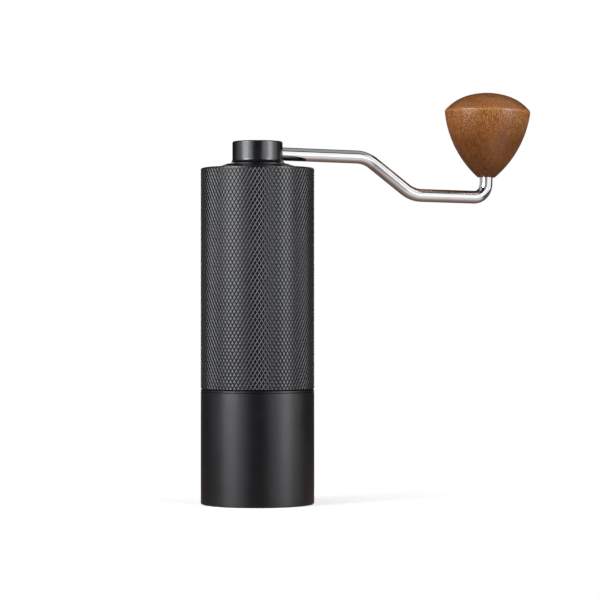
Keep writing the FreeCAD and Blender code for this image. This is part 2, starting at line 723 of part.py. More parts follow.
def adjusting_dial():
    """Lobed nut on the shaft's threaded foot that sets the burr gap, with a mark at each click."""
    radius = DIAL_DIAMETER / 2
    blank = turned([
        (SHAFT_THREAD_DIAMETER / 2 + RUNNING, DIAL_BASE_Z),
        (radius - DIAL_CHAMFER, DIAL_BASE_Z),
        (radius, DIAL_BASE_Z + DIAL_CHAMFER),
        (radius, DIAL_TOP_Z - DIAL_CHAMFER),
        (radius - DIAL_CHAMFER, DIAL_TOP_Z),
        (SHAFT_THREAD_DIAMETER / 2 + RUNNING, DIAL_TOP_Z),
    ])
    scallop = Part.makeCylinder(
        DIAL_LOBE_DIAMETER / 2, DIAL_HEIGHT, Vector(radius + DIAL_LOBE_DIAMETER / 4, 0, DIAL_BASE_Z)
    )
    cuts = around(scallop, DIAL_LOBES, 180.0 / DIAL_LOBES)
    cuts.append(disc(SHAFT_R + SLIDE_OFF, KEY_FOOT_Z - FEED_TRAVEL - FEED_ROOM, DIAL_TOP_Z))
    mark_out = radius - DIAL_CHAMFER
    mark = Part.makeBox(
        DIAL_MARK_LENGTH,
        DIAL_MARK_WIDTH,
        DIAL_MARK_DEPTH,
        Vector(mark_out - DIAL_MARK_LENGTH, -DIAL_MARK_WIDTH / 2, DIAL_BASE_Z),
    )
    cuts.extend(around(mark, CLICKS))
    pocket_r = DETENT_BALL_DIAMETER / 2 + FIT
    for place in detent_places():
        base = Vector(place.x, place.y, DIAL_TOP_Z - DETENT_POCKET_DEPTH)
        cuts.append(Part.makeCylinder(pocket_r, DETENT_POCKET_DEPTH, base))
    return blank.cut(cuts)


def detent_ball_level():
    """Height of the detent balls' centres."""
    return DIAL_TOP_Z + DETENT_BALL_RISE - DETENT_BALL_DIAMETER / 2


def detent_balls():
    """Balls that click into the plate's dimples."""
    level = Vector(0, 0, detent_ball_level())
    return Part.makeCompound([Part.makeSphere(DETENT_BALL_DIAMETER / 2, p + level) for p in detent_places()])


def detent_springs():
    """Small springs under the detent balls."""
    low = DIAL_TOP_Z - DETENT_POCKET_DEPTH + SPRING_GAP
    high = detent_ball_level() - DETENT_BALL_DIAMETER / 2 - SPRING_GAP
    radius = DETENT_BALL_DIAMETER / 2 - DETENT_SPRING_WIRE / 2 - FIT
    springs = []
    for place in detent_places():
        spring = coil(radius, DETENT_SPRING_WIRE, DETENT_SPRING_TURNS, low, high)
        spring.translate(place)
        springs.append(spring)
    return Part.makeCompound(springs)


def lid_seal_level():
    """Height of the seal's middle on the lid's skirt."""
    return LID_SEAT_Z - LID_SKIRT / 2


def lid():
    """Conical lid that drops into the body's rim, with a seat and a boss for the hub and a skirt below."""
    slope = math.tan(math.radians(LID_SLOPE))
    shoulder = LID_R - LID_WALL / 2
    seat_r = HUB_FOOT_R + HUB_GAP
    cone_top = max(LID_EDGE_Z + slope * (shoulder - seat_r), HUB_SEAT_Z + FIT)
    skirt_r = HOPPER_R - SLIDE_OFF
    skirt_z = LID_SEAT_Z - LID_SKIRT
    boss_r = BUSH_R + FIT + LID_WALL
    ceiling = HUB_SEAT_Z - LID_WALL
    eye = BUSH_R + FIT
    inside = skirt_r - LID_SKIRT_WALL
    flange_z = LID_SEAT_Z + LID_FLANGE / 2
    shell = turned([
        (eye, HUB_SEAT_Z),
        (eye, LID_BOSS_Z),
        (boss_r, LID_BOSS_Z),
        (boss_r, ceiling),
        (inside, LID_SEAT_Z),
        (inside, skirt_z),
        (skirt_r, skirt_z),
        (skirt_r, LID_SEAT_Z),
        (LID_R, LID_SEAT_Z),
        (LID_R, flange_z),
        (shoulder, LID_EDGE_Z),
        (seat_r, cone_top),
        (seat_r, HUB_SEAT_Z),
    ])
    seal_r = skirt_r + SEAL_PROUD - SEAL_WIRE / 2
    groove = Part.makeTorus(seal_r, SEAL_WIRE / 2 + FIT, Vector(0, 0, lid_seal_level()))
    return shell.cut(groove)


def lid_seal():
    """Soft ring on the lid's skirt that grips the hopper wall."""
    ring_r = HOPPER_R - SLIDE_OFF + SEAL_PROUD - SEAL_WIRE / 2
    return Part.makeTorus(ring_r, SEAL_WIRE / 2, Vector(0, 0, lid_seal_level()))


def lid_bush():
    """Bush in the lid's boss that the crank's neck turns in."""
    return ring(NECK_R + RUNNING, BUSH_R, LID_BOSS_Z, HUB_SEAT_Z)


def hub_washer():
    """Washer between the lid's boss and the clip on the crank's neck."""
    inner = NECK_R + RUNNING
    return ring(inner, inner + HUB_WASHER_WIDTH, LID_BOSS_Z - HUB_WASHER_THICKNESS, LID_BOSS_Z - RUNNING)


def hub_clip():
    """Clip on the crank's neck that keeps the lid on the crank."""
    inner = NECK_R - CLIP_GROOVE_DEPTH + FIT
    return split_ring(inner, inner + CLIP_WIDTH, HUB_CLIP_Z, HUB_CLIP_Z + CLIP_THICKNESS - FIT, CLIP_OPENING)


def arm_points():
    """Corner points of the arm's centre line: inside the hub, two bends, the corner and the post's tip."""
    droop = math.radians(ARM_DROOP)
    slant = math.radians(ARM_SLANT_ANGLE)
    lean = math.radians(POST_LEAN)
    along = Vector(math.cos(droop), 0, -math.sin(droop))
    up_post = Vector(math.sin(lean), 0, math.cos(lean))
    start = Vector(0, 0, ARM_Z)
    bend = start + along * ARM_FIRST_RUN
    foot = bend + Vector(ARM_SLANT_RUN, 0, -ARM_SLANT_RUN * math.tan(slant))
    corner = foot + along * ((CRANK_RADIUS - foot.x) / along.x)
    tip = corner + up_post * (POST_BELOW_KNOB + POST_IN_KNOB)
    return [start - along * ARM_TAIL, bend, foot, corner, tip]


def bent_path(points, radii):
    """Wire of straight runs joined by tangent arcs at the inner points."""
    edges = []
    begin = points[0]
    for before, point, after, radius in zip(points, points[1:], points[2:], radii):
        into = (point - before).normalize()
        out = (after - point).normalize()
        half_turn = into.getAngle(out) / 2
        reach = radius * math.tan(half_turn)
        arc_start = point - into * reach
        arc_end = point + out * reach
        inward = (out - into).normalize()
        arc_middle = point + inward * (radius / math.cos(half_turn) - radius)
        edges.append(Part.LineSegment(begin, arc_start).toShape())
        edges.append(Part.Arc(arc_start, arc_middle, arc_end).toShape())
        begin = arc_end
    edges.append(Part.LineSegment(begin, points[-1]).toShape())
    return Part.Wire(edges)


def crank_arm():
    """Bent round bar from the hub to the knob's post."""
    points = arm_points()
    path = bent_path(points, [ARM_BEND_RADIUS, ARM_BEND_RADIUS, ARM_CORNER_RADIUS])
    direction = (points[1] - points[0]).normalize()
    section = Part.Wire(Part.makeCircle(ARM_R, points[0], direction))
    arm = path.makePipeShell([section], True, True)
    return arm.cut(post_groove())


def on_post(shape):
    """Moves a piece made about Z, with z 0 at the knob's foot, onto the arm's post."""
    corner, tip = arm_points()[-2:]
    direction = (tip - corner).normalize()
    placed = shape.copy()
    placed.rotate(CENTRE, Vector(0, 1, 0), POST_LEAN)
    placed.translate(corner + direction * POST_BELOW_KNOB)
    return placed


def post_clip_level():
    """Lower face of the knob's clip, above the knob's foot."""
    return POST_IN_KNOB - POST_CLIP_BELOW_TIP


def post_groove():
    """Groove in the post for the knob's clip."""
    low = post_clip_level()
    return on_post(ring(ARM_R - POST_CLIP_DEPTH, 2 * ARM_R, low, low + POST_CLIP_THICKNESS))


def knob_clip():
    """Split ring in the post's groove that holds the knob on."""
    low = post_clip_level()
    inner = ARM_R - POST_CLIP_DEPTH + FIT
    outer = ARM_R + POST_CLIP_DEPTH - FIT
    return on_post(split_ring(inner, outer, low + FIT, low + POST_CLIP_THICKNESS - FIT, CLIP_OPENING))


def knob_bush():
    """Sleeve pressed into the knob that turns on the post, with a groove over the clip."""
    sleeve = ring(KNOB_BUSH_BORE_R, KNOB_BUSH_R, KNOB_BUSH_INSET, KNOB_BUSH_TOP)
    low = post_clip_level()
    room_r = min(ARM_R + POST_CLIP_DEPTH + RUNNING, KNOB_BUSH_R - FIT)
    room = disc(room_r, low - KNOB_CLIP_ROOM, low + POST_CLIP_THICKNESS + KNOB_CLIP_ROOM)
    return on_post(sleeve.cut(room))


def crank_knob():
    """Turned wooden knob: bulged flank, rounded rim and a domed top."""
    foot_r = KNOB_FOOT_DIAMETER / 2
    chord_r = KNOB_R - foot_r
    chord = math.hypot(chord_r, KNOB_RIM_HEIGHT)
    flank_r = (KNOB_R + foot_r) / 2 + KNOB_FLANK_BULGE * KNOB_RIM_HEIGHT / chord
    flank_z = KNOB_RIM_HEIGHT / 2 - KNOB_FLANK_BULGE * chord_r / chord
    crown_end = math.asin(KNOB_CROWN_DIAMETER / 2 / KNOB_CROWN_RADIUS)
    axis_r = KNOB_CROWN_DIAMETER / 2 - KNOB_SHOULDER_RADIUS * math.sin(crown_end)
    dome_r = KNOB_R - KNOB_RIM_INSET
    dome_z = KNOB_RIM_HEIGHT + KNOB_RIM_EDGE
    dome_end = math.asin((dome_r - axis_r) / KNOB_SHOULDER_RADIUS)
    shoulder_z = dome_z - KNOB_SHOULDER_RADIUS * math.cos(dome_end)
    crown_z = shoulder_z - (KNOB_CROWN_RADIUS - KNOB_SHOULDER_RADIUS) * math.cos(crown_end)
    shoulder_middle = on_circle(axis_r, shoulder_z, KNOB_SHOULDER_RADIUS, (crown_end + dome_end) / 2)
    crown_middle = on_circle(0, crown_z, KNOB_CROWN_RADIUS, crown_end / 2)
    knob = turned([
        (0, 0),
        (foot_r, 0),
        (flank_r, flank_z, KNOB_R, KNOB_RIM_HEIGHT),
        (KNOB_R - KNOB_RIM_INSET / 2 + KNOB_RIM_BULGE, KNOB_RIM_HEIGHT + KNOB_RIM_EDGE / 2, dome_r, dome_z),
        shoulder_middle + on_circle(0, crown_z, KNOB_CROWN_RADIUS, crown_end),
        crown_middle + (0, crown_z + KNOB_CROWN_RADIUS),
    ])
    bore = disc(KNOB_BUSH_R + FIT / 2, 0, KNOB_BUSH_TOP)
    return on_post(knob.cut(bore))


def crank_hub():
    """Black hub with a flared foot over the lid: takes the arm from the side and the shaft from below."""
    top_corner = ((HUB_R, HUB_TOP_Z - HUB_EDGE), (HUB_R, HUB_TOP_Z), (HUB_R - HUB_EDGE, HUB_TOP_Z))
    edge_z = HUB_Z + HUB_FLARE_EDGE
    flare = ((HUB_FOOT_R, edge_z), (HUB_R, edge_z), (HUB_R, edge_z + HUB_FLARE_HEIGHT))
    hub = turned([
        (0, HUB_Z),
        (HUB_FOOT_R, HUB_Z),
        flare[0],
        rounded(*flare),
        top_corner[0],
        rounded(*top_corner),
        (0, HUB_TOP_Z),
    ])
    neck = disc(NECK_R, NECK_Z, HUB_Z)
    clip_groove = ring(NECK_R - CLIP_GROOVE_DEPTH, 2 * NECK_R, HUB_CLIP_Z, HUB_CLIP_Z + CLIP_THICKNESS)
    socket = polygon_prism(SHAFT_R + SOCKET_CLEARANCE, DRIVE_SIDES, NECK_Z, SOCKET_TOP_Z)
    begin, bend = arm_points()[:2]
    along = (bend - begin).normalize()
    arm_hole = Part.makeCylinder(ARM_R + FIT / 2, ARM_TAIL + 2 * HUB_R, begin - along * FIT, along)
    grub_hole = disc(GRUB_DIAMETER / 2 + FIT / 2, ARM_Z, HUB_TOP_Z)
    return hub.fuse(neck).removeSplitter().cut([clip_groove, socket, arm_hole, grub_hole])


def arm_grub_screw():
    """Grub screw in the hub's top that clamps the arm."""
    low = ARM_Z + ARM_R + FIT
    high = HUB_TOP_Z - GRUB_RECESS
    screw = disc(GRUB_DIAMETER / 2, low, high)
    socket = polygon_prism(GRUB_HEX / 2, 6, high - GRUB_HEX_DEPTH, high)
    return screw.cut(socket)


def pieces():
    """Every piece of the grinder by node name."""
    made = {
        "catch_cup": catch_cup(),
        "outer_body": outer_body(),
        "upper_bracket": upper_bracket(),
        "lower_bracket": lower_bracket(),
        "bracket_snap_ring": bracket_snap_ring(),
        "burr_carrier": burr_carrier(),
        "outer_burr": outer_burr(),
        "outer_burr_screws": outer_burr_screws(),
        "drive_shaft": drive_shaft(),
        "shaft_clips": shaft_clips(),
        "spring_washer": spring_washer(),
        "burr_spring": burr_spring(),
        "inner_burr": inner_burr(),
        "click_plate": click_plate(),
        "adjusting_dial": adjusting_dial(),
        "detent_balls": detent_balls(),
        "detent_springs": detent_springs(),
        "lid": lid(),
        "lid_seal": lid_seal(),
        "lid_bush": lid_bush(),
        "hub_washer": hub_washer(),
        "hub_clip": hub_clip(),
        "crank_hub": crank_hub(),
        "crank_arm": crank_arm(),
        "arm_grub_screw": arm_grub_screw(),
        "knob_clip": knob_clip(),
        "knob_bush": knob_bush(),
        "crank_knob": crank_knob(),
    }
    for side, low in (("upper", UPPER_BEARING_Z), ("lower", LOWER_BEARING_Z)):
        made[side + "_bearing_outer_race"] = bearing_outer_race(low)
        made[side + "_bearing_inner_race"] = bearing_inner_race(low)
        made[side + "_bearing_balls"] = bearing_balls(low)
        made[side + "_bearing_cage"] = bearing_cage(low)
        made[side + "_bearing_shields"] = bearing_shields(low)
    return made


def build_all():
    """Writes one STEP file per piece and prints its size."""
    os.makedirs("parts", exist_ok=True)
    for name, shape in pieces().items():
        shape.exportStep("parts/" + name + ".step")
        box = shape.BoundBox
        print(
            f"{name}: solids {len(shape.Solids)}, valid {shape.isValid()}, volume {shape.Volume:.2f}, "
            f"x {box.XMin:.2f} to {box.XMax:.2f}, z {box.ZMin:.2f} to {box.ZMax:.2f}"
        )


build_all()
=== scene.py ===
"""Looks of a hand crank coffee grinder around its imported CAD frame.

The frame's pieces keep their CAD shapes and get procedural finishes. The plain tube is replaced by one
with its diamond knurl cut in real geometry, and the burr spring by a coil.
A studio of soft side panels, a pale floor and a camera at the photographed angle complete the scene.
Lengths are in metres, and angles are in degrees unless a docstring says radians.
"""

import logging
import math
from abc import ABC, abstractmethod
from dataclasses import dataclass
from enum import Enum
from typing import Any, ClassVar, Sequence

import bpy
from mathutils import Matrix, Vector


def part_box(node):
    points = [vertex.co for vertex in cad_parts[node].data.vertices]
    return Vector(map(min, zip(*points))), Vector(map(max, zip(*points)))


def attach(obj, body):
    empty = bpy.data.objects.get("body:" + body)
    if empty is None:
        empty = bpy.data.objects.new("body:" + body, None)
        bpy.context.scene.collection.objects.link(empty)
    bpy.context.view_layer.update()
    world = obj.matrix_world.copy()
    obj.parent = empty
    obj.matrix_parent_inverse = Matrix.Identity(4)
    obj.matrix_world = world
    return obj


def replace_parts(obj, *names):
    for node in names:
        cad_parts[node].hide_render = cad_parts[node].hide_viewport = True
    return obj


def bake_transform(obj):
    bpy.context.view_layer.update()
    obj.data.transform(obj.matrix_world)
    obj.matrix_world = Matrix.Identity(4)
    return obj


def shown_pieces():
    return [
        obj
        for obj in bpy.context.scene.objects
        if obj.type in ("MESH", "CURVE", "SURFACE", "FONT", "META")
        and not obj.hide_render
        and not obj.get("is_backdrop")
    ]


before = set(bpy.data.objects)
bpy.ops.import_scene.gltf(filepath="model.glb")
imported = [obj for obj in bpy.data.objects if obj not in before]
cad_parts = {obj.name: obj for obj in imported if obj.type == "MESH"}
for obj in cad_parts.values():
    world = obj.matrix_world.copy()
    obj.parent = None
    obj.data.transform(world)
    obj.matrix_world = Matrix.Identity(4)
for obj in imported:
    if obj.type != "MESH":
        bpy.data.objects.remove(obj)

Triple = tuple[float, float, float]
Colour = Triple
Point = tuple[float, float]
Socket = bpy.types.NodeSocket

LOG = logging.getLogger("grinder")
MM = 0.001
BLACK: Colour = (0.0, 0.0, 0.0)
WHITE: Colour = (1.0, 1.0, 1.0)
STILL: Triple = (0.0, 0.0, 0.0)
NOISE_MIDDLE: Point = (0.3, 0.7)
NOISE_CORE: Point = (0.35, 0.65)


def even(value: float) -> Triple:
    """The same value three times, for a grey colour or an even scale."""
    return (value, value, value)


@dataclass(frozen=True)
class Texture:
    """Noise that a finish is made of.

    Attributes:
        scale: Scale along each axis, per metre.
        octaves: Number of octaves.
        rough: Strength of the finer octaves.
    """

    scale: Triple
    octaves: float = 3.0
    rough: float = 0.5


@dataclass(frozen=True)
class Marks:
    """How strongly a colour shows where a field is high, or low if the levels fall.

    Attributes:
        levels: Values of the field at which the colour starts and at which it shows most.
        strength: Its share where it shows most.
    """

    levels: Point
    strength: float = 1.0


class Slot(Enum):
    """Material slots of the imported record."""

    BLACK_ANODISED = "black_anodised"
    BLACK_PLASTIC = "black_plastic"
    WALNUT = "walnut"
    POLISHED_STEEL = "polished_steel"
    BURR_STEEL = "burr_steel"
    SHAFT_STEEL = "shaft_steel"
    BEARING_STEEL = "bearing_steel"
    FASTENER_STEEL = "fastener_steel"
    SPRING_STEEL = "spring_steel"
    SILVER_ALUMINIUM = "silver_aluminium"
    BRASS = "brass"
    SEAL_RUBBER = "seal_rubber"


class Lay(Enum):
    """Direction that tool or polishing marks run on a surface."""

    TURNED = Texture((40.0, 40.0, 9000.0), rough=0.6)
    ALONG_X = Texture((60.0, 5000.0, 5000.0), rough=0.6)
    EVEN = Texture(even(2600.0), rough=0.6)


class Flag(Enum):
    """What a black flag before a light does to the pieces that it is set for."""

    SHADE = "EXCLUDE"
    SPARE = "INCLUDE"


class Nodes:
    """Node tree with short calls for the nodes that the finishes and the studio use."""

    def __init__(self, owner: bpy.types.Material | bpy.types.World) -> None:
        """Starts with an empty tree.

        Args:
            owner: Material or world that the tree belongs to.
        """
        owner.use_nodes = True
        self.tree = owner.node_tree
        self.tree.nodes.clear()

    def add(self, kind: str, **settings: Any) -> bpy.types.Node:
        """Adds a node.

        Args:
            kind: Blender's node type.
            settings: Node attributes to set.

        Returns:
            The new node.
        """
        node = self.tree.nodes.new(kind)
        for key, value in settings.items():
            setattr(node, key, value)
        return node

    def link(self, source: Socket, target: Socket) -> None:
        """Joins an output socket to an input socket."""
        self.tree.links.new(source, target)

    @staticmethod
    def fill(node: bpy.types.Node, **values: Any) -> None:
        """Sets constant values on a node's sockets.

        Args:
            node: The node.
            values: Socket names, with underscores for spaces, and their values.
        """
        for key, value in values.items():
            node.inputs[key.replace("_", " ")].default_value = value

    def through(self, node: bpy.types.Node, output: str, *fields: Socket) -> Socket:
        """Passes fields through a node.

        Args:
            node: The node.
            output: Name of the output to take.
            fields: Sockets for its first inputs, in order.

        Returns:
            The output socket.
        """
        for target, source in zip(node.inputs, fields):
            self.link(source, target)
        return node.outputs[output]

    def coordinates(self, scale: Triple = even(1.0), turn: Triple = STILL, place: Triple = STILL) -> Socket:
        """Object coordinates in metres, scaled, turned and moved.

        Args:
            scale: Scale along each axis.
            turn: Rotation in radians about each axis.
            place: Shift along each axis, after the scale.

        Returns:
            The vector socket.
        """
        mapping = self.add("ShaderNodeMapping")
        self.fill(mapping, Scale=scale, Rotation=turn, Location=place)
        return self.through(mapping, "Vector", self.add("ShaderNodeTexCoord").outputs["Object"])

    def length(self, vector: Socket) -> Socket:
        """Length of a vector."""
        return self.through(self.add("ShaderNodeVectorMath", operation="LENGTH"), "Value", vector)

    def axis(self, vector: Socket, name: str) -> Socket:
        """One component of a vector, named X, Y or Z."""
        return self.through(self.add("ShaderNodeSeparateXYZ"), name, vector)

    def times(self, first: Socket, second: Socket) -> Socket:
        """Product of two fields."""
        return self.through(self.add("ShaderNodeMath", operation="MULTIPLY"), "Value", first, second)

    def plus(self, first: Socket, second: Socket) -> Socket:
        """Sum of two fields."""
        return self.through(self.add("ShaderNodeMath", operation="ADD"), "Value", first, second)

    def gap(self, value: Socket, middle: float) -> Socket:
        """Distance of a field from a number.

        Args:
            value: Value socket.
            middle: Number to measure from.

        Returns:
            The value socket.
        """
        less = self.add("ShaderNodeMath", operation="SUBTRACT")
        less.inputs[1].default_value = middle
        signed = self.through(less, "Value", value)
        return self.through(self.add("ShaderNodeMath", operation="ABSOLUTE"), "Value", signed)

    def noise(self, texture: Texture, turn: Triple = STILL) -> Socket:
        """Noise field.

        Args:
            texture: Scale and octaves of the noise.
            turn: Rotation of its axes in radians.

        Returns:
            The value socket.
        """
        node = self.add("ShaderNodeTexNoise")
        self.fill(node, Scale=1.0, Detail=texture.octaves, Roughness=texture.rough)
        return self.through(node, "Fac", self.coordinates(texture.scale, turn))

    def spread(self, value: Socket, low: float, high: float, at: Point = (0.0, 1.0)) -> Socket:
        """Maps a field onto a range.

        Args:
            value: Field to map.
            low: Result at the start of the source range.
            high: Result at its end.
            at: Source range.

        Returns:
            The mapped socket.
        """
        node = self.add("ShaderNodeMapRange")
        self.fill(node, From_Min=at[0], From_Max=at[1], To_Min=low, To_Max=high)
        return self.through(node, "Result", value)

    def show(self, value: Socket, marks: Marks) -> Socket:
        """Share of a colour that shows in marks over a field."""
        return self.spread(value, 0.0, marks.strength, marks.levels)

    def ramp(self, value: Socket, stops: Sequence[tuple[float, Colour]]) -> Socket:
        """Colour ramp over a field.

        Args:
            value: Field from 0 to 1.
            stops: Places and colours.

        Returns:
            The colour socket.
        """
        node = self.add("ShaderNodeValToRGB")
        elements = node.color_ramp.elements
        while len(elements) < len(stops):
            elements.new(1.0)
        for element, (place, colour) in zip(elements, stops):
            element.position = place
            element.color = (*colour, 1.0)
        return self.through(node, "Color", value)

    def mix(self, share: Socket, first: Socket | Colour, second: Socket | Colour) -> Socket:
        """Mixes two colours.

        Args:
            share: Share of the second colour.
            first: Socket or colour.
            second: Socket or colour.

        Returns:
            The colour socket.
        """
        node = self.add("ShaderNodeMix", data_type="RGBA")
        fac, before, after = (s for s in node.inputs if s.enabled)
        self.link(share, fac)
        for socket, value in ((before, first), (after, second)):
            if isinstance(value, Socket):
                self.link(value, socket)
            else:
                socket.default_value = (*value, 1.0)
        return next(s for s in node.outputs if s.enabled)

    def bump(self, height: Socket, depth: float, strength: float = 1.0, over: Socket | None = None) -> Socket:
        """Bump from a height field.

        Args:
            height: Height field.
            depth: Relief in metres.
            strength: Share of the relief that shows.
            over: Normal to add to.

        Returns:
            The normal socket.
        """
        node = self.add("ShaderNodeBump")
        self.fill(node, Distance=depth, Strength=strength)
        self.link(height, node.inputs["Height"])
        if over is not None:
            self.link(over, node.inputs["Normal"])
        return node.outputs["Normal"]


class Shader(Nodes):
    """Material with a principled surface."""

    def __init__(self, name: str) -> None:
        """Starts with a plain surface.

        Args:
            name: The material's name.
        """
        self.material = bpy.data.materials.new(name)
        super().__init__(self.material)
        self.surface = self.add("ShaderNodeBsdfPrincipled")
        output = self.add("ShaderNodeOutputMaterial")
        self.link(self.surface.outputs["BSDF"], output.inputs["Surface"])

    def set(self, **values: Any) -> None:
        """Sets constant values on the surface's sockets."""
        self.fill(self.surface, **values)

    def feed(self, socket: str, value: Socket) -> None:
        """Drives one of the surface's sockets, given by its name."""
        self.link(value, self.surface.inputs[socket])


@dataclass(frozen=True)
class SurfaceFinish(ABC):
    """Finish of a piece.

    Attributes:
        name: Material name.
        slot: The record's material slot that it stands for; not used.
        colour: Main colour.
        rough: Middle roughness.
    """

    name: str
    slot: Slot
    colour: Colour
    rough: float

    def tone(self, share: float) -> Colour:
        """Main colour, made darker or lighter by a factor."""
        red, green, blue = self.colour
        return (share * red, share * green, share * blue)

    @abstractmethod
    def material(self) -> bpy.types.Material:
        """Builds the material.

        Returns:
            The new material.
        """


@dataclass(frozen=True)
class AnodisedFinish(SurfaceFinish):
    """Blasted and black anodised aluminium.

    Attributes:
        specular: Specular level.
        blast: Grain that the blasting leaves.
        relief: Grain depth in metres.
        tint: Colour that the oxide gives its reflections.
        mottle: Share by which the colour varies.
        wander: How far the roughness varies.
    """

    specular: float = 0.5
    blast: Texture = Texture(even(5200.0), 2.0, 0.6)
    relief: float = 4e-6
    tint: Colour = (0.94, 0.955, 1.0)
    mottle: float = 0.25
    wander: float = 0.03
    CLOUD: ClassVar[Texture] = Texture(even(90.0), 4.0, 0.6)

    def material(self) -> bpy.types.Material:
        """Builds the material.

        Returns:
            The new material.
        """
        shader = Shader(self.name)
        shader.set(Metallic=0.0, IOR=1.5, Specular_IOR_Level=self.specular, Specular_Tint=(*self.tint, 1.0))
        cloud = shader.noise(self.CLOUD)
        start, end = NOISE_MIDDLE
        tones = [(start, self.tone(1.0 - self.mottle)), (end, self.tone(1.0 + self.mottle))]
        shader.feed("Base Color", shader.ramp(cloud, tones))
        rough = shader.spread(cloud, self.rough - self.wander, self.rough + self.wander, NOISE_MIDDLE)
        shader.feed("Roughness", rough)
        shader.feed("Normal", shader.bump(shader.noise(self.blast), self.relief))
        return shader.material


@dataclass(frozen=True)
class MetalFinish(SurfaceFinish):
    """Bare metal with tool or polishing marks.

    Attributes:
        lay: Direction of the marks.
        relief: Depth of the marks in metres.
        stain: Share of darker tarnish.
        wander: Share by which the roughness varies.
    """

    lay: Lay = Lay.EVEN
    relief: float = 1e-6
    stain: float = 0.15
    wander: float = 0.2
    CLOUD: ClassVar[Texture] = Texture(even(140.0), 4.0, 0.6)

    def material(self) -> bpy.types.Material:
        """Builds the material.

        Returns:
            The new material.
        """
        shader = Shader(self.name)
        shader.set(Metallic=1.0)
        marks = shader.noise(self.lay.value)
        start, end = NOISE_CORE
        tones = [(start, self.tone(1.0 - self.stain)), (end, self.colour)]
        shader.feed("Base Color", shader.ramp(shader.noise(self.CLOUD), tones))
        smooth, coarse = (self.rough * (1.0 + share) for share in (-self.wander, self.wander))
        shader.feed("Roughness", shader.spread(marks, smooth, coarse, NOISE_MIDDLE))
        shader.feed("Normal", shader.bump(marks, self.relief))
        return shader.material


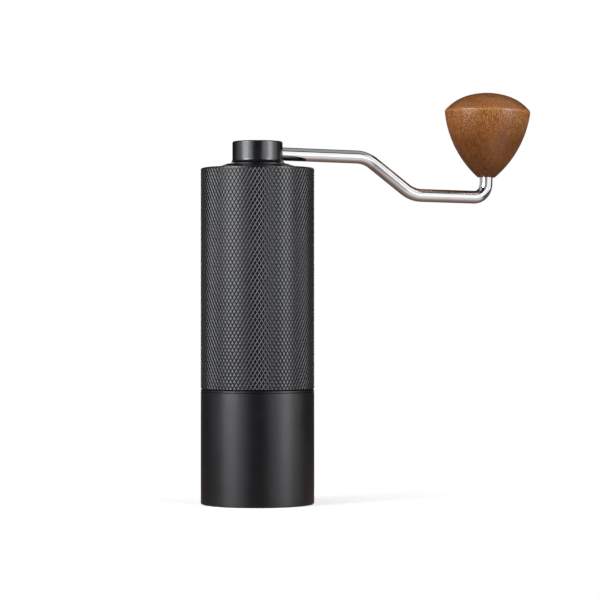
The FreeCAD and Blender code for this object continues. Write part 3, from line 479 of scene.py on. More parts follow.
@dataclass(frozen=True)
class WoodFinish(SurfaceFinish):
    """Turned and oiled walnut, whose main colour is that of its middle grain.

    Attributes:
        dark: Darkest grain colour.
        light: Lighter grain colour.
        bright: Colour of the bright flecks and of the light band at the rim's edge, which is partly rubbed
            wood and partly a painted highlight.
        tilt: Lean of the knob about Y in radians.
        foot: Height of the knob's foot along its leaning axis.
        flank: Heights above the foot between which the flecks and the painted light on the flank grow
            stronger.
        rim: Heights between which they fade again on the dome.
        edge: Height of the rubbed band and its painted highlight, between flank and dome.
        edge_rub_and_highlight: How the rubbed band and its painted highlight show over the distance from that
            edge.
        grain_lean: Lean of the grain from the knob's axis about X and Y, in radians.
        foot_flecks: Share of the flecks that shows at the foot.
        dome_flecks: Share of the flecks that shows on the dome.
        rise: Share of the light colour painted onto the flank as it nears the edge, a painted light that
            makes the upper flank lighter.
        pore_stain: Share of the dark colour in the pores.
        sheen: Changes of the roughness from the smoothest to the coarsest streaks.
        pore_depth: Depth of the pores.
        streak_depth: Depth of the streaks.
        sanded: Share of both depths that shows.
    """

    dark: Colour
    light: Colour
    bright: Colour
    tilt: float
    foot: float = 0.1545
    flank: Point = (17.0 * MM, 28.0 * MM)
    rim: Point = (31.7 * MM, 32.8 * MM)
    edge: float = 31.0 * MM
    edge_rub_and_highlight: Marks = Marks((0.45 * MM, 0.15 * MM), 0.5)
    grain_lean: Point = (0.10, 0.14)
    foot_flecks: float = 0.2
    dome_flecks: float = 0.3
    rise: float = 0.6
    pore_stain: float = 0.35
    sheen: Point = (-0.06, 0.08)
    pore_depth: float = 2.0e-5
    streak_depth: float = 6e-6
    sanded: float = 0.5
    FIGURE: ClassVar[Texture] = Texture((60.0, 190.0, 26.0), 3.0, 0.55)
    STREAK: ClassVar[Texture] = Texture((900.0, 900.0, 150.0), 3.0, 0.6)
    FLECK: ClassVar[Texture] = Texture((2000.0, 2000.0, 1300.0), 2.0, 0.6)
    PORE: ClassVar[Texture] = Texture((3200.0, 3200.0, 420.0), 1.0, 0.5)
    FIGURE_STOPS: ClassVar[Triple] = (0.25, 0.6, 1.0)
    STREAKS: ClassVar[Marks] = Marks((0.45, 0.70), 0.5)
    BRIGHT_FLECKS: ClassVar[Marks] = Marks((0.48, 0.66), 0.9)
    DARK_FLECKS: ClassVar[Marks] = Marks((0.48, 0.36), 0.6)
    PORES: ClassVar[Marks] = Marks((0.6, 0.7))

    def material(self) -> bpy.types.Material:
        """Builds the material.

        Returns:
            The new material.
        """
        shader = Shader(self.name)
        shader.set(Specular_IOR_Level=0.15, Coat_Weight=0.6, Coat_Roughness=0.22)
        about_x, about_y = self.grain_lean
        lean = (about_x, self.tilt + about_y, 0.0)
        streak = shader.noise(self.STREAK, lean)
        pores = shader.show(shader.noise(self.PORE, lean), self.PORES)
        upright = shader.coordinates(turn=(0.0, -self.tilt, 0.0), place=(0.0, 0.0, -self.foot))
        height = shader.axis(upright, "Z")
        flecked = self._flecked(shader, lean, streak, height)
        pored = shader.mix(shader.spread(pores, 0.0, self.pore_stain), flecked, self.dark)
        # Painted highlight: a lighter band round the rim's edge, partly rubbed wood and partly a highlight
        # painted into the colour.
        rim_rub_and_highlight = shader.show(shader.gap(height, self.edge), self.edge_rub_and_highlight)
        shader.feed("Base Color", shader.mix(rim_rub_and_highlight, pored, self.bright))
        smooth, coarse = (self.rough + change for change in self.sheen)
        shader.feed("Roughness", shader.spread(streak, smooth, coarse, NOISE_CORE))
        streaked = shader.bump(streak, self.streak_depth, self.sanded)
        shader.feed("Normal", shader.bump(pores, -self.pore_depth, self.sanded, streaked))
        return shader.material

    def _flecked(self, shader: Shader, lean: Triple, streak: Socket, height: Socket) -> Socket:
        """Colour of the grain with its streaks and flecks, which are strongest under the edge, on a flank
        painted lighter towards that edge as painted light.

        Args:
            shader: Shader to add to.
            lean: Rotation of the grain in radians.
            streak: Noise of the streaks.
            height: Height above the knob's foot.

        Returns:
            The colour socket.
        """
        flank = shader.spread(height, 0.0, 1.0, self.flank)
        rising = shader.times(flank, shader.spread(height, 1.0, self.dome_flecks, self.rim))
        lively = shader.spread(rising, self.foot_flecks, 1.0)
        stops = list(zip(self.FIGURE_STOPS, (self.dark, self.colour, self.light)))
        plain = shader.ramp(shader.noise(self.FIGURE, lean), stops)
        # Painted light: the flank's colour grows lighter with height towards the edge, standing in for light
        # from above.
        base = shader.mix(shader.spread(rising, 0.0, self.rise), plain, self.light)
        streaked = shader.mix(shader.show(streak, self.STREAKS), base, self.light)
        fleck = shader.noise(self.FLECK, lean)
        bright = shader.times(shader.show(fleck, self.BRIGHT_FLECKS), lively)
        dark = shader.times(shader.show(fleck, self.DARK_FLECKS), lively)
        return shader.mix(dark, shader.mix(bright, streaked, self.bright), self.dark)


@dataclass(frozen=True)
class MouldedFinish(SurfaceFinish):
    """Moulded plastic or rubber with a fine skin.

    Attributes:
        specular: Specular level.
        skin: Texture of the skin.
        relief: Skin depth in metres.
        mottle: Share by which the colour grows lighter.
        wander: How far the roughness varies.
    """

    specular: float = 0.5
    skin: Texture = Texture(even(3800.0), 2.0)
    relief: float = 5e-6
    mottle: float = 0.3
    wander: float = 0.05
    CLOUD: ClassVar[Texture] = Texture(even(160.0))

    def material(self) -> bpy.types.Material:
        """Builds the material.

        Returns:
            The new material.
        """
        shader = Shader(self.name)
        shader.set(Specular_IOR_Level=self.specular)
        cloud = shader.noise(self.CLOUD)
        start, end = NOISE_MIDDLE
        tones = [(start, self.colour), (end, self.tone(1.0 + self.mottle))]
        shader.feed("Base Color", shader.ramp(cloud, tones))
        rough = shader.spread(cloud, self.rough - self.wander, self.rough + self.wander, NOISE_MIDDLE)
        shader.feed("Roughness", rough)
        shader.feed("Normal", shader.bump(shader.noise(self.skin), self.relief))
        return shader.material


class Finish(Enum):
    """Finishes of the grinder's pieces."""

    CUP_BLACK = AnodisedFinish("cup_black", Slot.BLACK_ANODISED, (0.0026, 0.0027, 0.0033), 0.34, 0.6)
    KNURL_BLACK = AnodisedFinish("knurl_black", Slot.BLACK_ANODISED, (0.0045, 0.0045, 0.005), 0.25, 0.65)
    HUB_BLACK = AnodisedFinish(
        "hub_black", Slot.BLACK_ANODISED, (0.003, 0.003, 0.0035), 0.27, 0.9,
        blast=Texture(even(7000.0), 2.0, 0.6), relief=4e-7,
    )
    LID_BLACK = MouldedFinish("lid_black", Slot.BLACK_PLASTIC, (0.004, 0.004, 0.0045), 0.45, 0.25)
    WALNUT = WoodFinish(
        "walnut", Slot.WALNUT, (0.165, 0.051, 0.010), 0.44,
        dark=(0.090, 0.026, 0.005), light=(0.310, 0.108, 0.026), bright=(0.52, 0.24, 0.085), tilt=0.0227,
    )
    POLISHED_STEEL = MetalFinish(
        "polished_steel", Slot.POLISHED_STEEL, (0.78, 0.78, 0.79), 0.09, Lay.ALONG_X, 6e-8, stain=0.06,
    )
    BURR_STEEL = MetalFinish("burr_steel", Slot.BURR_STEEL, even(0.56), 0.26, Lay.EVEN, 2e-6)
    SHAFT_STEEL = MetalFinish("shaft_steel", Slot.SHAFT_STEEL, even(0.62), 0.22, Lay.TURNED, 2e-6)
    BEARING_STEEL = MetalFinish(
        "bearing_steel", Slot.BEARING_STEEL, (0.70, 0.70, 0.71), 0.12, Lay.TURNED, 5e-7,
    )
    FASTENER_STEEL = MetalFinish(
        "fastener_steel", Slot.FASTENER_STEEL, (0.20, 0.20, 0.21), 0.32, Lay.EVEN, 2e-6,
    )
    SPRING_STEEL = MetalFinish("spring_steel", Slot.SPRING_STEEL, even(0.50), 0.25)
    SILVER_ALUMINIUM = MetalFinish(
        "silver_aluminium", Slot.SILVER_ALUMINIUM, (0.68, 0.68, 0.69), 0.34, Lay.TURNED, 3e-6,
    )
    BRASS = MetalFinish("brass", Slot.BRASS, (0.62, 0.44, 0.19), 0.22, Lay.TURNED, 2e-6)
    SEAL_RUBBER = MouldedFinish("seal_rubber", Slot.SEAL_RUBBER, even(0.010), 0.62)


class Dresser:
    """Makes each finish's material once and puts it on pieces."""

    def __init__(self) -> None:
        """Starts with no material made."""
        self._made: dict[Finish, bpy.types.Material] = {}

    def dress(self, finish: Finish, *pieces: bpy.types.Object) -> None:
        """Puts a finish on pieces.

        Args:
            finish: Finish to put on.
            pieces: Pieces to dress.
        """
        if finish not in self._made:
            self._made[finish] = finish.value.material()
        for piece in pieces:
            piece.data.materials.clear()
            piece.data.materials.append(self._made[finish])

    def dress_nodes(self, finish: Finish, *nodes: str) -> None:
        """Puts a finish on CAD nodes, given by their names."""
        self.dress(finish, *(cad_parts[node] for node in nodes))


class MeshMaker:
    """Collects points and faces, with a normal for each face corner, into one mesh object."""

    SLIVER: ClassVar[float] = 1e-15

    def __init__(self) -> None:
        """Starts empty."""
        self.points: list[Vector] = []
        self.faces: list[list[int]] = []
        self.normals: list[Vector] = []

    def point(self, angle: float, radius: float, height: float) -> int:
        """Adds a point at an angle in radians about Z, and returns its number."""
        self.points.append(Vector((radius * math.cos(angle), radius * math.sin(angle), height)))
        return len(self.points) - 1

    def face(self, corners: Sequence[int], normals: Sequence[Vector] = ()) -> None:
        """Adds a face, unless its corners fall together.

        Args:
            corners: Point numbers, anticlockwise from outside.
            normals: A normal per corner, or none for a flat face.
        """
        kept = [c for i, c in enumerate(corners) if c != corners[i - 1]]
        if len(kept) < 3:
            return
        a, b, c = (self.points[i] for i in kept[:3])
        flat = (b - a).cross(c - a)
        if flat.length < self.SLIVER:
            return
        self.faces.append(kept)
        chosen = dict(zip(corners, normals))
        self.normals.extend(chosen.get(i, flat.normalized()) for i in kept)

    def object(self, name: str) -> bpy.types.Object:
        """Finishes the mesh.

        Args:
            name: Object name.

        Returns:
            The linked object.
        """
        mesh = bpy.data.meshes.new(name)
        mesh.from_pydata(self.points, [], self.faces)
        mesh.polygons.foreach_set("use_smooth", [True] * len(mesh.polygons))
        mesh.normals_split_custom_set(self.normals)
        mesh.update()
        piece = bpy.data.objects.new(name, mesh)
        bpy.context.scene.collection.objects.link(piece)
        return piece


@dataclass
class KnurledTube:
    """Body tube with its diamond knurl cut in geometry.

    Attributes:
        radius: Radius over the diamonds.
        low: Height of the tube's foot.
        high: Height of the tube's rim.
        bore: Corners of the bore as (radius, height), from the rim down to the foot.
        foot_edge: Height of the foot's chamfer.
        rim_edge: Height of the rim's round.
        starts: Grooves of each hand round the tube.
        rows: Diamonds along the tube.
        groove_share: Groove width as a share of the diamonds' spacing.
        groove_depth: Groove depth.
        crown_round: Lean of a diamond's face at its corners.
        flank_round: Lean of a groove's flank at its upper and lower edge.
    """

    radius: float
    low: float
    high: float
    bore: Sequence[Point]
    foot_edge: float = 0.5 * MM
    rim_edge: float = 0.8 * MM
    starts: int = 85
    rows: float = 31.5
    groove_share: float = 0.26
    groove_depth: float = 0.15 * MM
    crown_round: float = 7.5
    flank_round: Point = (20.0, 38.0)
    CORNERS: ClassVar[tuple[Point, ...]] = ((-1, 0), (0, 1), (1, 0), (0, -1))
    RIM_ANGLES: ClassVar[tuple[float, ...]] = (22.0, 45.0, 68.0, 90.0)

    @property
    def around(self) -> int:
        """Half diamonds round the tube."""
        return 2 * self.starts

    @property
    def along(self) -> int:
        """Half diamonds along the tube."""
        return round(2 * self.rows)

    @property
    def turn(self) -> float:
        """Angle of half a diamond, in radians."""
        return math.pi / self.starts

    @property
    def base(self) -> float:
        """Height of the knurl's lower end."""
        return self.low + self.foot_edge

    @property
    def step(self) -> float:
        """Height of half a diamond."""
        return (self.high - self.rim_edge - self.base) / self.along

    def build(self) -> bpy.types.Object:
        """Builds the tube.

        Returns:
            The new piece, standing for the plain CAD tube.
        """
        maker = MeshMaker()
        valley: dict[tuple[int, int], int] = {}
        for row in range(self.along + 1):
            for column in range(row % 2, self.around, 2):
                valley[column, row] = self._point(maker, column, row, self.radius - self.groove_depth)
        ends: dict[int, list[int]] = {0: [], self.along: []}
        for row in range(self.along + 1):
            for column in range((row + 1) % 2, self.around, 2):
                crown, side = self._cell(maker, valley, column, row)
                if row in ends:
                    ends[row].extend([side, crown[0], crown[2]])
        inner = self._end(maker, ends[self.along], [*self._rim(), *self.bore], True)
        outer = self._end(maker, ends[0], [(self.radius - self.foot_edge, self.low)], False)
        for i in range(len(outer)):
            maker.face([outer[i], outer[i - 1], inner[i - 1], inner[i]])
        piece = maker.object("knurled_tube")
        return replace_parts(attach(piece, "body"), "outer_body")

    def _point(self, maker: MeshMaker, column: float, row: float, radius: float) -> int:
        """Adds a point at a place in half diamonds, kept within the knurl, and returns its number."""
        held = min(max(row, 0), self.along)
        return maker.point(column * self.turn, radius, self.base + held * self.step)

    def _cell(self, maker: MeshMaker, valley: dict[tuple[int, int], int], column: int,
              row: int) -> tuple[list[int], int]:
        """Builds one diamond and its four groove flanks, cut off at the knurl's ends.

        Args:
            maker: Mesh to add to.
            valley: Groove crossing points by column and row.
            column: The diamond's column, in half diamonds.
            row: The diamond's row, in half diamonds.

        Returns:
            The crown's corners (west, north, east, south) and the western valley point.
        """
        share = 1.0 - self.groove_share
        crown = [
            self._point(maker, column + share * dx, row + share * dy, self.radius) for dx, dy in self.CORNERS
        ]
        west = valley[(column - 1) % self.around, row]
        east = valley[(column + 1) % self.around, row]
        north = valley.get((column, row + 1))
        south = valley.get((column, row - 1))
        out = [self._leaning(maker.points[i], side, self.crown_round) for i, side in zip(crown, self.CORNERS)]
        w, n, e, s = crown
        if north is None:
            maker.face([w, s, e], [out[0], out[3], out[2]])
        elif south is None:
            maker.face([w, e, n], [out[0], out[2], out[1]])
        else:
            maker.face([w, s, e, n], [out[0], out[3], out[2], out[1]])
        round_step = self.radius * self.turn
        if north is not None:
            self._flank(maker, [west, w, n, north], (-self.step, round_step))
            self._flank(maker, [north, n, e, east], (self.step, round_step))
        if south is not None:
            self._flank(maker, [south, s, w, west], (-self.step, -round_step))
            self._flank(maker, [east, e, s, south], (self.step, -round_step))
        return crown, west

    def _flank(self, maker: MeshMaker, corners: list[int], side: Point) -> None:
        """Adds one rounded groove flank.

        Args:
            maker: Mesh to add to.
            corners: Point numbers of the flank: lower, upper, upper and lower edge.
            side: Direction that the flank faces, as (round, up).
        """
        upper, lower = self.flank_round
        leans = (lower, upper, upper, lower)
        maker.face(corners, [self._leaning(maker.points[c], side, lean) for c, lean in zip(corners, leans)])

    @staticmethod
    def _leaning(point: Vector, side: Point, degrees: float) -> Vector:
        """Outward direction at a point of the tube, leaned to one side.

        Args:
            point: Point on the tube.
            side: Direction of the lean, as (round, up).
            degrees: Lean.

        Returns:
            A unit vector.
        """
        out = Vector((point.x, point.y, 0.0)).normalized()
        across = (Vector((-out.y, out.x, 0.0)) * side[0] + Vector((0.0, 0.0, side[1]))).normalized()
        lean = math.radians(degrees)
        return out * math.cos(lean) + across * math.sin(lean)

    def _rim(self) -> list[Point]:
        """Corners of the rim's round as (radius, height), in order from the knurl's upper end."""
        edge = self.rim_edge
        return [
            (self.radius - edge * (1 - math.cos(angle)), self.high - edge * (1 - math.sin(angle)))
            for angle in map(math.radians, self.RIM_ANGLES)
        ]

    @staticmethod
    def _end(maker: MeshMaker, loop: list[int], section: Sequence[Point], upward: bool) -> list[int]:
        """Turns a section about Z from an end of the knurl.

        Args:
            maker: Mesh to add to.
            loop: Point numbers round the knurl's end.
            section: Corners of the section as (radius, height).
            upward: True at the rim, False at the foot.

        Returns:
            Point numbers round the section's last corner.
        """
        angles = [math.atan2(maker.points[i].y, maker.points[i].x) for i in loop]
        last = loop
        for radius, height in section:
            ring = [maker.point(a, radius, height) for a in angles]
            lower = maker.points[last[1]]
            run = Vector((radius - math.hypot(lower.x, lower.y), height - lower.z))
            across = Vector((run.y, -run.x)).normalized() if upward else Vector((-run.y, run.x)).normalized()
            normals = [Vector((across.x * math.cos(a), across.x * math.sin(a), across.y)) for a in angles]
            for i in range(len(ring)):
                corners = [last[i - 1], last[i], ring[i], ring[i - 1]]
                kept = [normals[i - 1], normals[i], normals[i], normals[i - 1]]
                if not upward:
                    corners.reverse()
                    kept.reverse()
                maker.face(corners, kept)
            last = ring
        return last


@dataclass
class BurrSpring:
    """Coil between the burr and the lower bearing.

    Attributes:
        radius: Radius of the coil's centre line.
        wire: Wire diameter.
        turns: Number of turns.
        low: Lowest height.
        high: Highest height.
        steps_per_turn: Rings of points along each turn.
        sides: Points round the wire.
    """

    radius: float
    wire: float
    turns: float
    low: float
    high: float
    steps_per_turn: int = 40
    sides: int = 14

    def build(self) -> bpy.types.Object:
        """Builds the coil.

        Returns:
            The new piece, standing for the CAD spring.
        """
        maker = MeshMaker()
        steps = round(self.turns * self.steps_per_turn)
        rise = self.high - self.low - self.wire
        last: list[int] = []
        back = Vector()
        for step in range(steps + 1):
            share = step / steps
            angle = 2 * math.pi * self.turns * share
            height = self.low + self.wire / 2 + rise * share
            ring = self._ring(maker, angle, height)
            centre = Vector((self.radius * math.cos(angle), self.radius * math.sin(angle), height))
            for i in range(len(last)):
                corners = [last[i - 1], ring[i - 1], ring[i], last[i]]
                middles = (back, centre, centre, back)
                maker.face(corners, [(maker.points[c] - m).normalized() for c, m in zip(corners, middles)])
            if step in (0, steps):
                maker.face(ring if step == 0 else ring[::-1])
            last = ring
            back = centre
        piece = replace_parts(maker.object("burr_spring_coil"), "burr_spring")
        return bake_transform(piece)

    def _ring(self, maker: MeshMaker, angle: float, height: float) -> list[int]:
        """Adds the points round the wire at an angle in radians and a height, and returns their numbers."""
        half = self.wire / 2
        return [
            maker.point(angle, self.radius + half * math.cos(a), height + half * math.sin(a))
            for a in (2 * math.pi * i / self.sides for i in range(self.sides))
        ]


@dataclass
class SubAssembly(ABC):
    """Pieces of the grinder that belong together.

    Attributes:
        dresser: Puts finishes on pieces.
    """

    dresser: Dresser

    def build(self) -> list[bpy.types.Object]:
        """Builds the pieces that stand for CAD nodes, which are none unless a class adds them."""
        return []

    @abstractmethod
    def dress(self, pieces: list[bpy.types.Object]) -> None:
        """Dresses the new pieces and the CAD nodes that stay.

        Args:
            pieces: Pieces from build.
        """


@dataclass
class Housing(SubAssembly):
    """Tube and cup that the hand holds.

    Attributes:
        ledge_wall: Wall beside the lid's ledge.
        ledge_depth: Depth of that ledge below the rim.
        hopper_wall: Wall of the hopper.
        ring_groove: Depth of the snap ring's groove in that wall.
        land_wall: Wall between the two brackets.
        socket_wall: Wall of the burr carrier's socket.
    """

    ledge_wall: float = 2.1 * MM
    ledge_depth: float = 2.0 * MM
    hopper_wall: float = 2.8 * MM
    ring_groove: float = 0.8 * MM
    land_wall: float = 3.4 * MM
    socket_wall: float = 2.25 * MM

    def build(self) -> list[bpy.types.Object]:
        """Builds the knurled tube.

        Returns:
            The new pieces.
        """
        low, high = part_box("outer_body")
        ring_low, ring_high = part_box("bracket_snap_ring")
        land_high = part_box("upper_bracket")[0].z
        land_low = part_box("lower_bracket")[1].z
        seat = high.z - self.ledge_depth
        radius = high.x
        walls = (self.ledge_wall, self.hopper_wall, self.land_wall, self.socket_wall)
        ledge, hopper, land, socket = (radius - wall for wall in walls)
        sunk = hopper + self.ring_groove
        bore = [
            (ledge, high.z), (ledge, seat), (hopper, seat),
            (hopper, ring_high.z), (sunk, ring_high.z), (sunk, ring_low.z), (hopper, ring_low.z),
            (hopper, land_high), (land, land_high), (land, land_low), (socket, land_low), (socket, low.z),
        ]
        return [KnurledTube(radius, low.z, high.z, bore).build()]

    def dress(self, pieces: list[bpy.types.Object]) -> None:
        """Dresses the tube from build and the CAD cup."""
        self.dresser.dress(Finish.KNURL_BLACK, *pieces)
        self.dresser.dress_nodes(Finish.CUP_BLACK, "catch_cup")


@dataclass
class DriveTrain(SubAssembly):
    """Shaft, bearings, brackets, burrs and dial.

    Attributes:
        spring_turns: Turns of the burr spring.
        spring_wire: Its wire diameter.
    """

    spring_turns: float = 4.5
    spring_wire: float = 1.0 * MM
    BEARINGS: ClassVar[tuple[str, ...]] = ("upper", "lower")
    BEARING_PARTS: ClassVar[tuple[str, ...]] = ("outer_race", "inner_race", "balls", "cage", "shields")

    def build(self) -> list[bpy.types.Object]:
        """Builds the burr spring.

        Returns:
            The new pieces.
        """
        low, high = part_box("burr_spring")
        radius = high.x - self.spring_wire / 2
        return [BurrSpring(radius, self.spring_wire, self.spring_turns, low.z, high.z).build()]

    def dress(self, pieces: list[bpy.types.Object]) -> None:
        """Dresses the coil and the drive's CAD pieces.

        Args:
            pieces: Pieces from build.
        """
        put = self.dresser.dress_nodes
        self.dresser.dress(Finish.SPRING_STEEL, *pieces)
        put(Finish.SPRING_STEEL, "burr_spring", "detent_springs")
        put(Finish.BURR_STEEL, "outer_burr", "inner_burr")
        put(Finish.SHAFT_STEEL, "drive_shaft", "click_plate", "spring_washer")
        bearings = [f"{side}_bearing_{part}" for side in self.BEARINGS for part in self.BEARING_PARTS]
        put(Finish.BEARING_STEEL, *bearings, "detent_balls")
        put(Finish.FASTENER_STEEL, "outer_burr_screws", "shaft_clips", "bracket_snap_ring")
        put(Finish.SILVER_ALUMINIUM, "upper_bracket", "lower_bracket", "burr_carrier", "adjusting_dial")


@dataclass
class Crank(SubAssembly):
    """Lid, hub, arm and knob, which all keep their CAD shapes."""

    def dress(self, pieces: list[bpy.types.Object]) -> None:
        """Dresses the crank's CAD pieces.

        Args:
            pieces: Pieces from build; not used.
        """
        put = self.dresser.dress_nodes
        put(Finish.HUB_BLACK, "crank_hub")
        put(Finish.LID_BLACK, "lid")
        put(Finish.POLISHED_STEEL, "crank_arm")
        put(Finish.WALNUT, "crank_knob")
        put(Finish.BRASS, "knob_bush", "lid_bush")
        put(Finish.SEAL_RUBBER, "lid_seal")
        put(Finish.SHAFT_STEEL, "hub_washer")
        put(Finish.FASTENER_STEEL, "hub_clip", "knob_clip", "arm_grub_screw")


@dataclass(frozen=True)
class Panel:
    """Soft light panel that stands round the object.

    Attributes:
        name: Light name.
        bearing: Degrees to the right of the camera, seen from the object.
        distance: Distance from the object's axis.
        width: Width.
        radiance: Brightness of its face.
        off: Pieces that a flag before the panel keeps in its shade.
        only: Pieces that it shines on, with flags before all others.
        tall: Height of its face.
        middle: Height of its middle above the floor.
    """

    name: str
    bearing: float
    distance: float
    width: float
    radiance: float
    off: tuple[str, ...] = ()
    only: tuple[str, ...] = ()
    tall: float = 1.10
    middle: float = 0.54


@dataclass
class Studio:
    """Camera, lights, floor and background.

    Attributes:
        azimuth: Camera direction.
        distance: Camera distance from the object's axis.
        eye: Camera height.
        shift: How far the camera stands to the right of the axis.
        lens: Focal length in millimetres.
        sensor: Width of the camera's sensor in millimetres.
        backdrop: Angles from straight behind the object between which the white background fades.
        room: Brightness of the room outside that background.
        floor_half: Distance from the floor's middle to its edges.
        floor_drop: How far the floor lies below the cup's base, so that their faces don't meet.
        floor_pale: Level of the floor that takes the shadow.
        floor_bounce: Level of the floor that throws light back on the object.
        shadow: Distances from the axis between which the shadow on the floor fades to white.
        shadow_glow: Share of white in the floor where the shadow is strongest.
        floor_far: Colour of the floor that shiny pieces show, away from the crank.
        floor_mirrored: Places from front to back and colours that the crank shows of the floor under it.
        mirrored_depth: Y from which to which those places run.
        crank_side: Middle of the floor under the crank, across its length.
        crank_reach: Distances from that middle between which the floor's colours fade.
        crank_front: Distances along the crank between which they start.
        ceiling: Names of the overhead panels, places to the right of the axis and brightness.
        ceiling_size: Width and length of an overhead panel.
        ceiling_back: How far the overhead panels hang behind the axis.
        ceiling_height: Height of the overhead panels.
        ceiling_off: Pieces that flags keep in their shade.
        panels: Side panels.
    """

    azimuth: float = -25.0
    distance: float = 1.206
    eye: float = 0.0933
    shift: float = 0.01945
    lens: float = 158.0
    sensor: float = 36.0
    backdrop: Point = (6.5, 11.0)
    room: float = 0.02
    floor_half: float = 6.0
    floor_drop: float = 0.2 * MM
    floor_pale: float = 0.80
    floor_bounce: float = 0.14
    shadow: Point = (0.03, 0.13)
    shadow_glow: float = 0.5
    floor_far: Colour = (0.09, 0.09, 0.095)
    floor_mirrored: tuple[tuple[float, Colour], ...] = (
        (0.0, (0.95, 0.96, 0.98)), (0.29, (0.77, 0.78, 0.79)), (0.55, (0.80, 0.75, 0.73)),
        (0.66, (0.45, 0.36, 0.33)), (0.757, (0.26, 0.18, 0.15)), (0.9, (0.16, 0.11, 0.09)),
    )
    mirrored_depth: Point = (-0.5, 0.15)
    crank_side: float = 0.1
    crank_reach: Point = (0.1, 0.17)
    crank_front: Point = (-0.3, -0.15)
    ceiling: tuple[tuple[str, float, float], ...] = (
        ("ceiling_left", -0.65, 0.38), ("ceiling_right", 0.65, 0.36),
    )
    ceiling_size: Point = (1.0, 1.3)
    ceiling_back: float = 0.35
    ceiling_height: float = 1.25
    ceiling_off: tuple[str, ...] = ("crank_hub", "lid")
    panels: tuple[Panel, ...] = (
        Panel("left_wide", -66.0, 1.14, 2.30, 0.45),
        Panel("left_inner", -37.0, 1.12, 0.50, 1.9),
        Panel("left_soft", -57.0, 1.10, 0.56, 5.1),
        Panel("left_hot", -55.0, 1.08, 0.54, 7.0, tall=0.46, middle=0.82),
        Panel("right_wide", 62.0, 1.14, 2.00, 0.45),
        Panel("right_inner", 44.0, 1.12, 0.80, 0.75),
        Panel("right_middle", 38.0, 1.11, 0.50, 0.8, off=("crank_arm",)),
        Panel("right_soft", 61.0, 1.10, 0.42, 4.8, off=("crank_arm",)),
        Panel("right_hot", 61.0, 1.08, 0.42, 3.0, off=("crank_arm",), tall=0.46, middle=0.82),
        Panel("right_outer", 82.0, 1.12, 0.50, 0.8, off=("knurled_tube",)),
        Panel("left_outer", -82.0, 1.12, 0.50, 0.4, only=("catch_cup", "crank_hub", "knurled_tube")),
        Panel("tube_left", -36.0, 1.12, 0.32, 1.5, only=("knurled_tube",)),
        Panel("tube_right", 27.0, 1.12, 0.32, 1.1, only=("knurled_tube",)),
        Panel("left_edge", -145.0, 1.12, 0.50, 0.12, only=("knurled_tube",)),
        Panel("right_edge", 145.0, 1.12, 0.50, 0.1, only=("knurled_tube",)),
        Panel("arm_front", 2.0, 1.40, 0.90, 0.3, only=("crank_arm",)),
        Panel("back_left", -130.0, 1.12, 0.70, 0.5, only=("crank_arm",)),
        Panel("back_fill", 180.0, 1.12, 0.55, 2.0, only=("catch_cup", "knurled_tube", "crank_hub")),
    )

    def build(self) -> None:
        """Builds the whole studio."""
        self._camera()
        for panel in self.panels:
            self._panel(panel)
        self._ceiling()
        self._floor()
        self._world()
        bpy.context.scene.view_settings.view_transform = "Standard"

    def _towards(self, bearing: float = 0.0) -> Vector:
        """Level unit vector from the object to the camera, or to a bearing on the camera's right."""
        angle = math.radians(self.azimuth + bearing)
        return Vector((math.sin(angle), -math.cos(angle), 0.0))

    def _camera(self) -> None:
        """Sets the camera at the photographed angle."""
        data = bpy.data.cameras.new("camera")
        data.lens = self.lens
        data.sensor_width = self.sensor
        camera = bpy.data.objects.new("camera", data)
        back = self._towards()
        right = self._towards(90.0)
        camera.location = back * self.distance + right * self.shift + Vector((0, 0, self.eye))
        camera.rotation_euler = (-back).to_track_quat("-Z", "Y").to_euler()
        bpy.context.scene.collection.objects.link(camera)
        bpy.context.scene.camera = camera

    @staticmethod
    def _light(name: str, size: Point, radiance: float, place: Vector, facing: Vector) -> bpy.types.Object:
        """Adds a soft rectangular light.

        Args:
            name: Light name.
            size: Width and height.
            radiance: Brightness of its face.
            place: Middle of the panel.
            facing: Direction that it shines.

        Returns:
            The light.
        """
        data = bpy.data.lights.new(name, "AREA")
        data.shape = "RECTANGLE"
        data.size, data.size_y = size
        data.energy = radiance * math.pi * size[0] * size[1]
        light = bpy.data.objects.new(name, data)
        light.location = place
        light.rotation_euler = facing.to_track_quat("-Z", "Y").to_euler()
        bpy.context.scene.collection.objects.link(light)
        return light

    @staticmethod
    def _aim(light: bpy.types.Object, names: Sequence[str], flag: Flag) -> None:
        """Keeps a light off some pieces or on them alone, as black flags before it do.

        Args:
            light: The light.
            names: Names of the pieces.
            flag: Whether these pieces are shaded, or spared while all others are.
        """
        aimed = bpy.data.collections.new(f"{light.name}_flag")
        for name in names:
            aimed.objects.link(bpy.data.objects[name])
        for member in aimed.collection_objects:
            member.light_linking.link_state = flag.value
        light.light_linking.receiver_collection = aimed

    def _panel(self, panel: Panel) -> None:
        """Adds one side panel.

        Args:
            panel: The panel's place and brightness.
        """
        towards = self._towards(panel.bearing)
        place = towards * panel.distance + Vector((0, 0, panel.middle))
        light = self._light(panel.name, (panel.width, panel.tall), panel.radiance, place, -towards)
        for names, flag in ((panel.off, Flag.SHADE), (panel.only, Flag.SPARE)):
            if names:
                self._aim(light, names, flag)

    def _ceiling(self) -> None:
        """Adds the dim overhead panels, on either side of the camera's line of sight."""
        middle = Vector((0, 0, self.ceiling_height)) - self._towards() * self.ceiling_back
        for name, aside, radiance in self.ceiling:
            place = middle + self._towards(90.0) * aside
            light = self._light(name, self.ceiling_size, radiance, place, Vector((0, 0, -1)))
            self._aim(light, self.ceiling_off, Flag.SHADE)

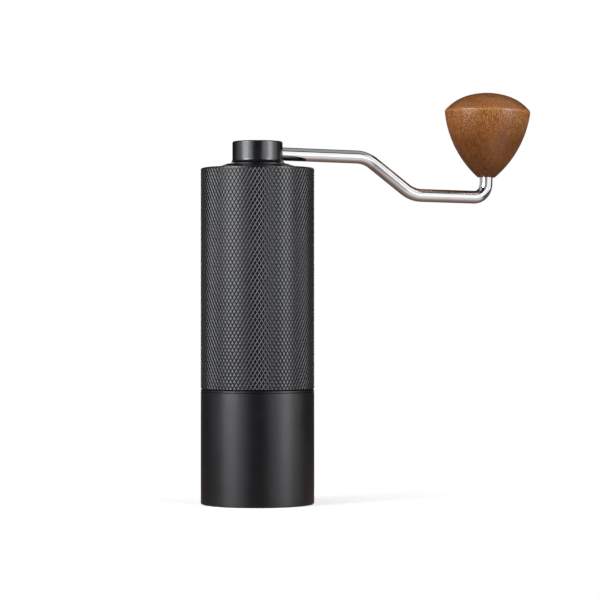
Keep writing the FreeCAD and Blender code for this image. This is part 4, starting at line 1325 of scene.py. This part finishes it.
    def _floor(self) -> None:
        """Adds a pale floor that keeps the object's shadow near it and runs out to the white background."""
        half = self.floor_half
        corners = [(-half, -half, 0), (half, -half, 0), (half, half, 0), (-half, half, 0)]
        mesh = bpy.data.meshes.new("floor")
        mesh.from_pydata(corners, [], [range(len(corners))])
        mesh.materials.append(self._floor_material())
        floor = bpy.data.objects.new("floor", mesh)
        floor.location.z = -self.floor_drop
        bpy.context.scene.collection.objects.link(floor)
        floor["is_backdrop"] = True

    def _floor_material(self) -> bpy.types.Material:
        """Builds a floor that is white with a shadow to the eye and dim to the pieces that mirror it.

        Returns:
            The new material.
        """
        shader = Shader("floor")
        shader.set(Roughness=0.9, Specular_IOR_Level=0.0)
        path = shader.add("ShaderNodeLightPath")
        seen = shader.plus(path.outputs["Is Camera Ray"], path.outputs["Is Transmission Ray"])
        mirrored = path.outputs["Is Glossy Ray"]
        away = shader.spread(shader.length(shader.coordinates()), 0.0, 1.0, self.shadow)
        pale = shader.mix(away, even(self.floor_pale), BLACK)
        bounced = shader.mix(mirrored, even(self.floor_bounce), BLACK)
        shader.feed("Base Color", shader.mix(seen, bounced, pale))
        shader.feed("Emission Color", shader.mix(seen, self._mirrored_floor(shader), WHITE))
        glow = shader.times(seen, shader.spread(away, self.shadow_glow, 1.0))
        shader.feed("Emission Strength", shader.plus(glow, mirrored))
        return shader.material

    def _mirrored_floor(self, shader: Shader) -> Socket:
        """Colour of the floor that shiny pieces show.

        Args:
            shader: Shader to add to.

        Returns:
            The colour socket.
        """
        turned = shader.coordinates(turn=(0.0, 0.0, math.radians(self.azimuth + 90.0)))
        from_middle = shader.gap(shader.axis(turned, "Y"), self.crank_side)
        aside = shader.spread(from_middle, 1.0, 0.0, self.crank_reach)
        front = shader.spread(shader.axis(turned, "X"), 0.0, 1.0, self.crank_front)
        depth = shader.spread(shader.axis(shader.coordinates(), "Y"), 0.0, 1.0, self.mirrored_depth)
        under_crank = shader.ramp(depth, self.floor_mirrored)
        return shader.mix(shader.times(aside, front), self.floor_far, under_crank)

    def _world(self) -> None:
        """Sets a white background, which shiny pieces show behind the object, and a dim room elsewhere."""
        world = bpy.data.worlds.new("studio")
        bpy.context.scene.world = world
        nodes = Nodes(world)
        path = nodes.add("ShaderNodeLightPath")
        facing = nodes.add("ShaderNodeVectorMath", operation="DOT_PRODUCT")
        facing.inputs[1].default_value = -self._towards()
        ahead = nodes.through(facing, "Value", nodes.add("ShaderNodeTexCoord").outputs["Generated"])
        full, gone = (math.cos(math.radians(angle)) for angle in self.backdrop)
        behind = nodes.spread(ahead, 0.0, 1.0, (gone, full))
        seen = nodes.plus(path.outputs["Is Camera Ray"], path.outputs["Is Transmission Ray"])
        shown = nodes.plus(nodes.times(path.outputs["Is Glossy Ray"], behind), seen)
        background = nodes.add("ShaderNodeBackground")
        nodes.fill(background, Color=(*WHITE, 1.0))
        nodes.link(nodes.spread(shown, self.room, 1.0), background.inputs["Strength"])
        output = nodes.add("ShaderNodeOutputWorld")
        nodes.link(background.outputs["Background"], output.inputs["Surface"])


def main() -> None:
    """Builds and dresses the grinder, then the studio round it, and reports each piece."""
    logging.basicConfig(level=logging.INFO, format="%(name)s: %(message)s")
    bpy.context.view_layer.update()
    dresser = Dresser()
    for assembly in (Housing(dresser), DriveTrain(dresser), Crank(dresser)):
        assembly.dress(assembly.build())
    Studio().build()
    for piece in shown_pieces():
        LOG.info("%s: %s", piece.name, piece.active_material.name)


if __name__ == "__main__":
    main()
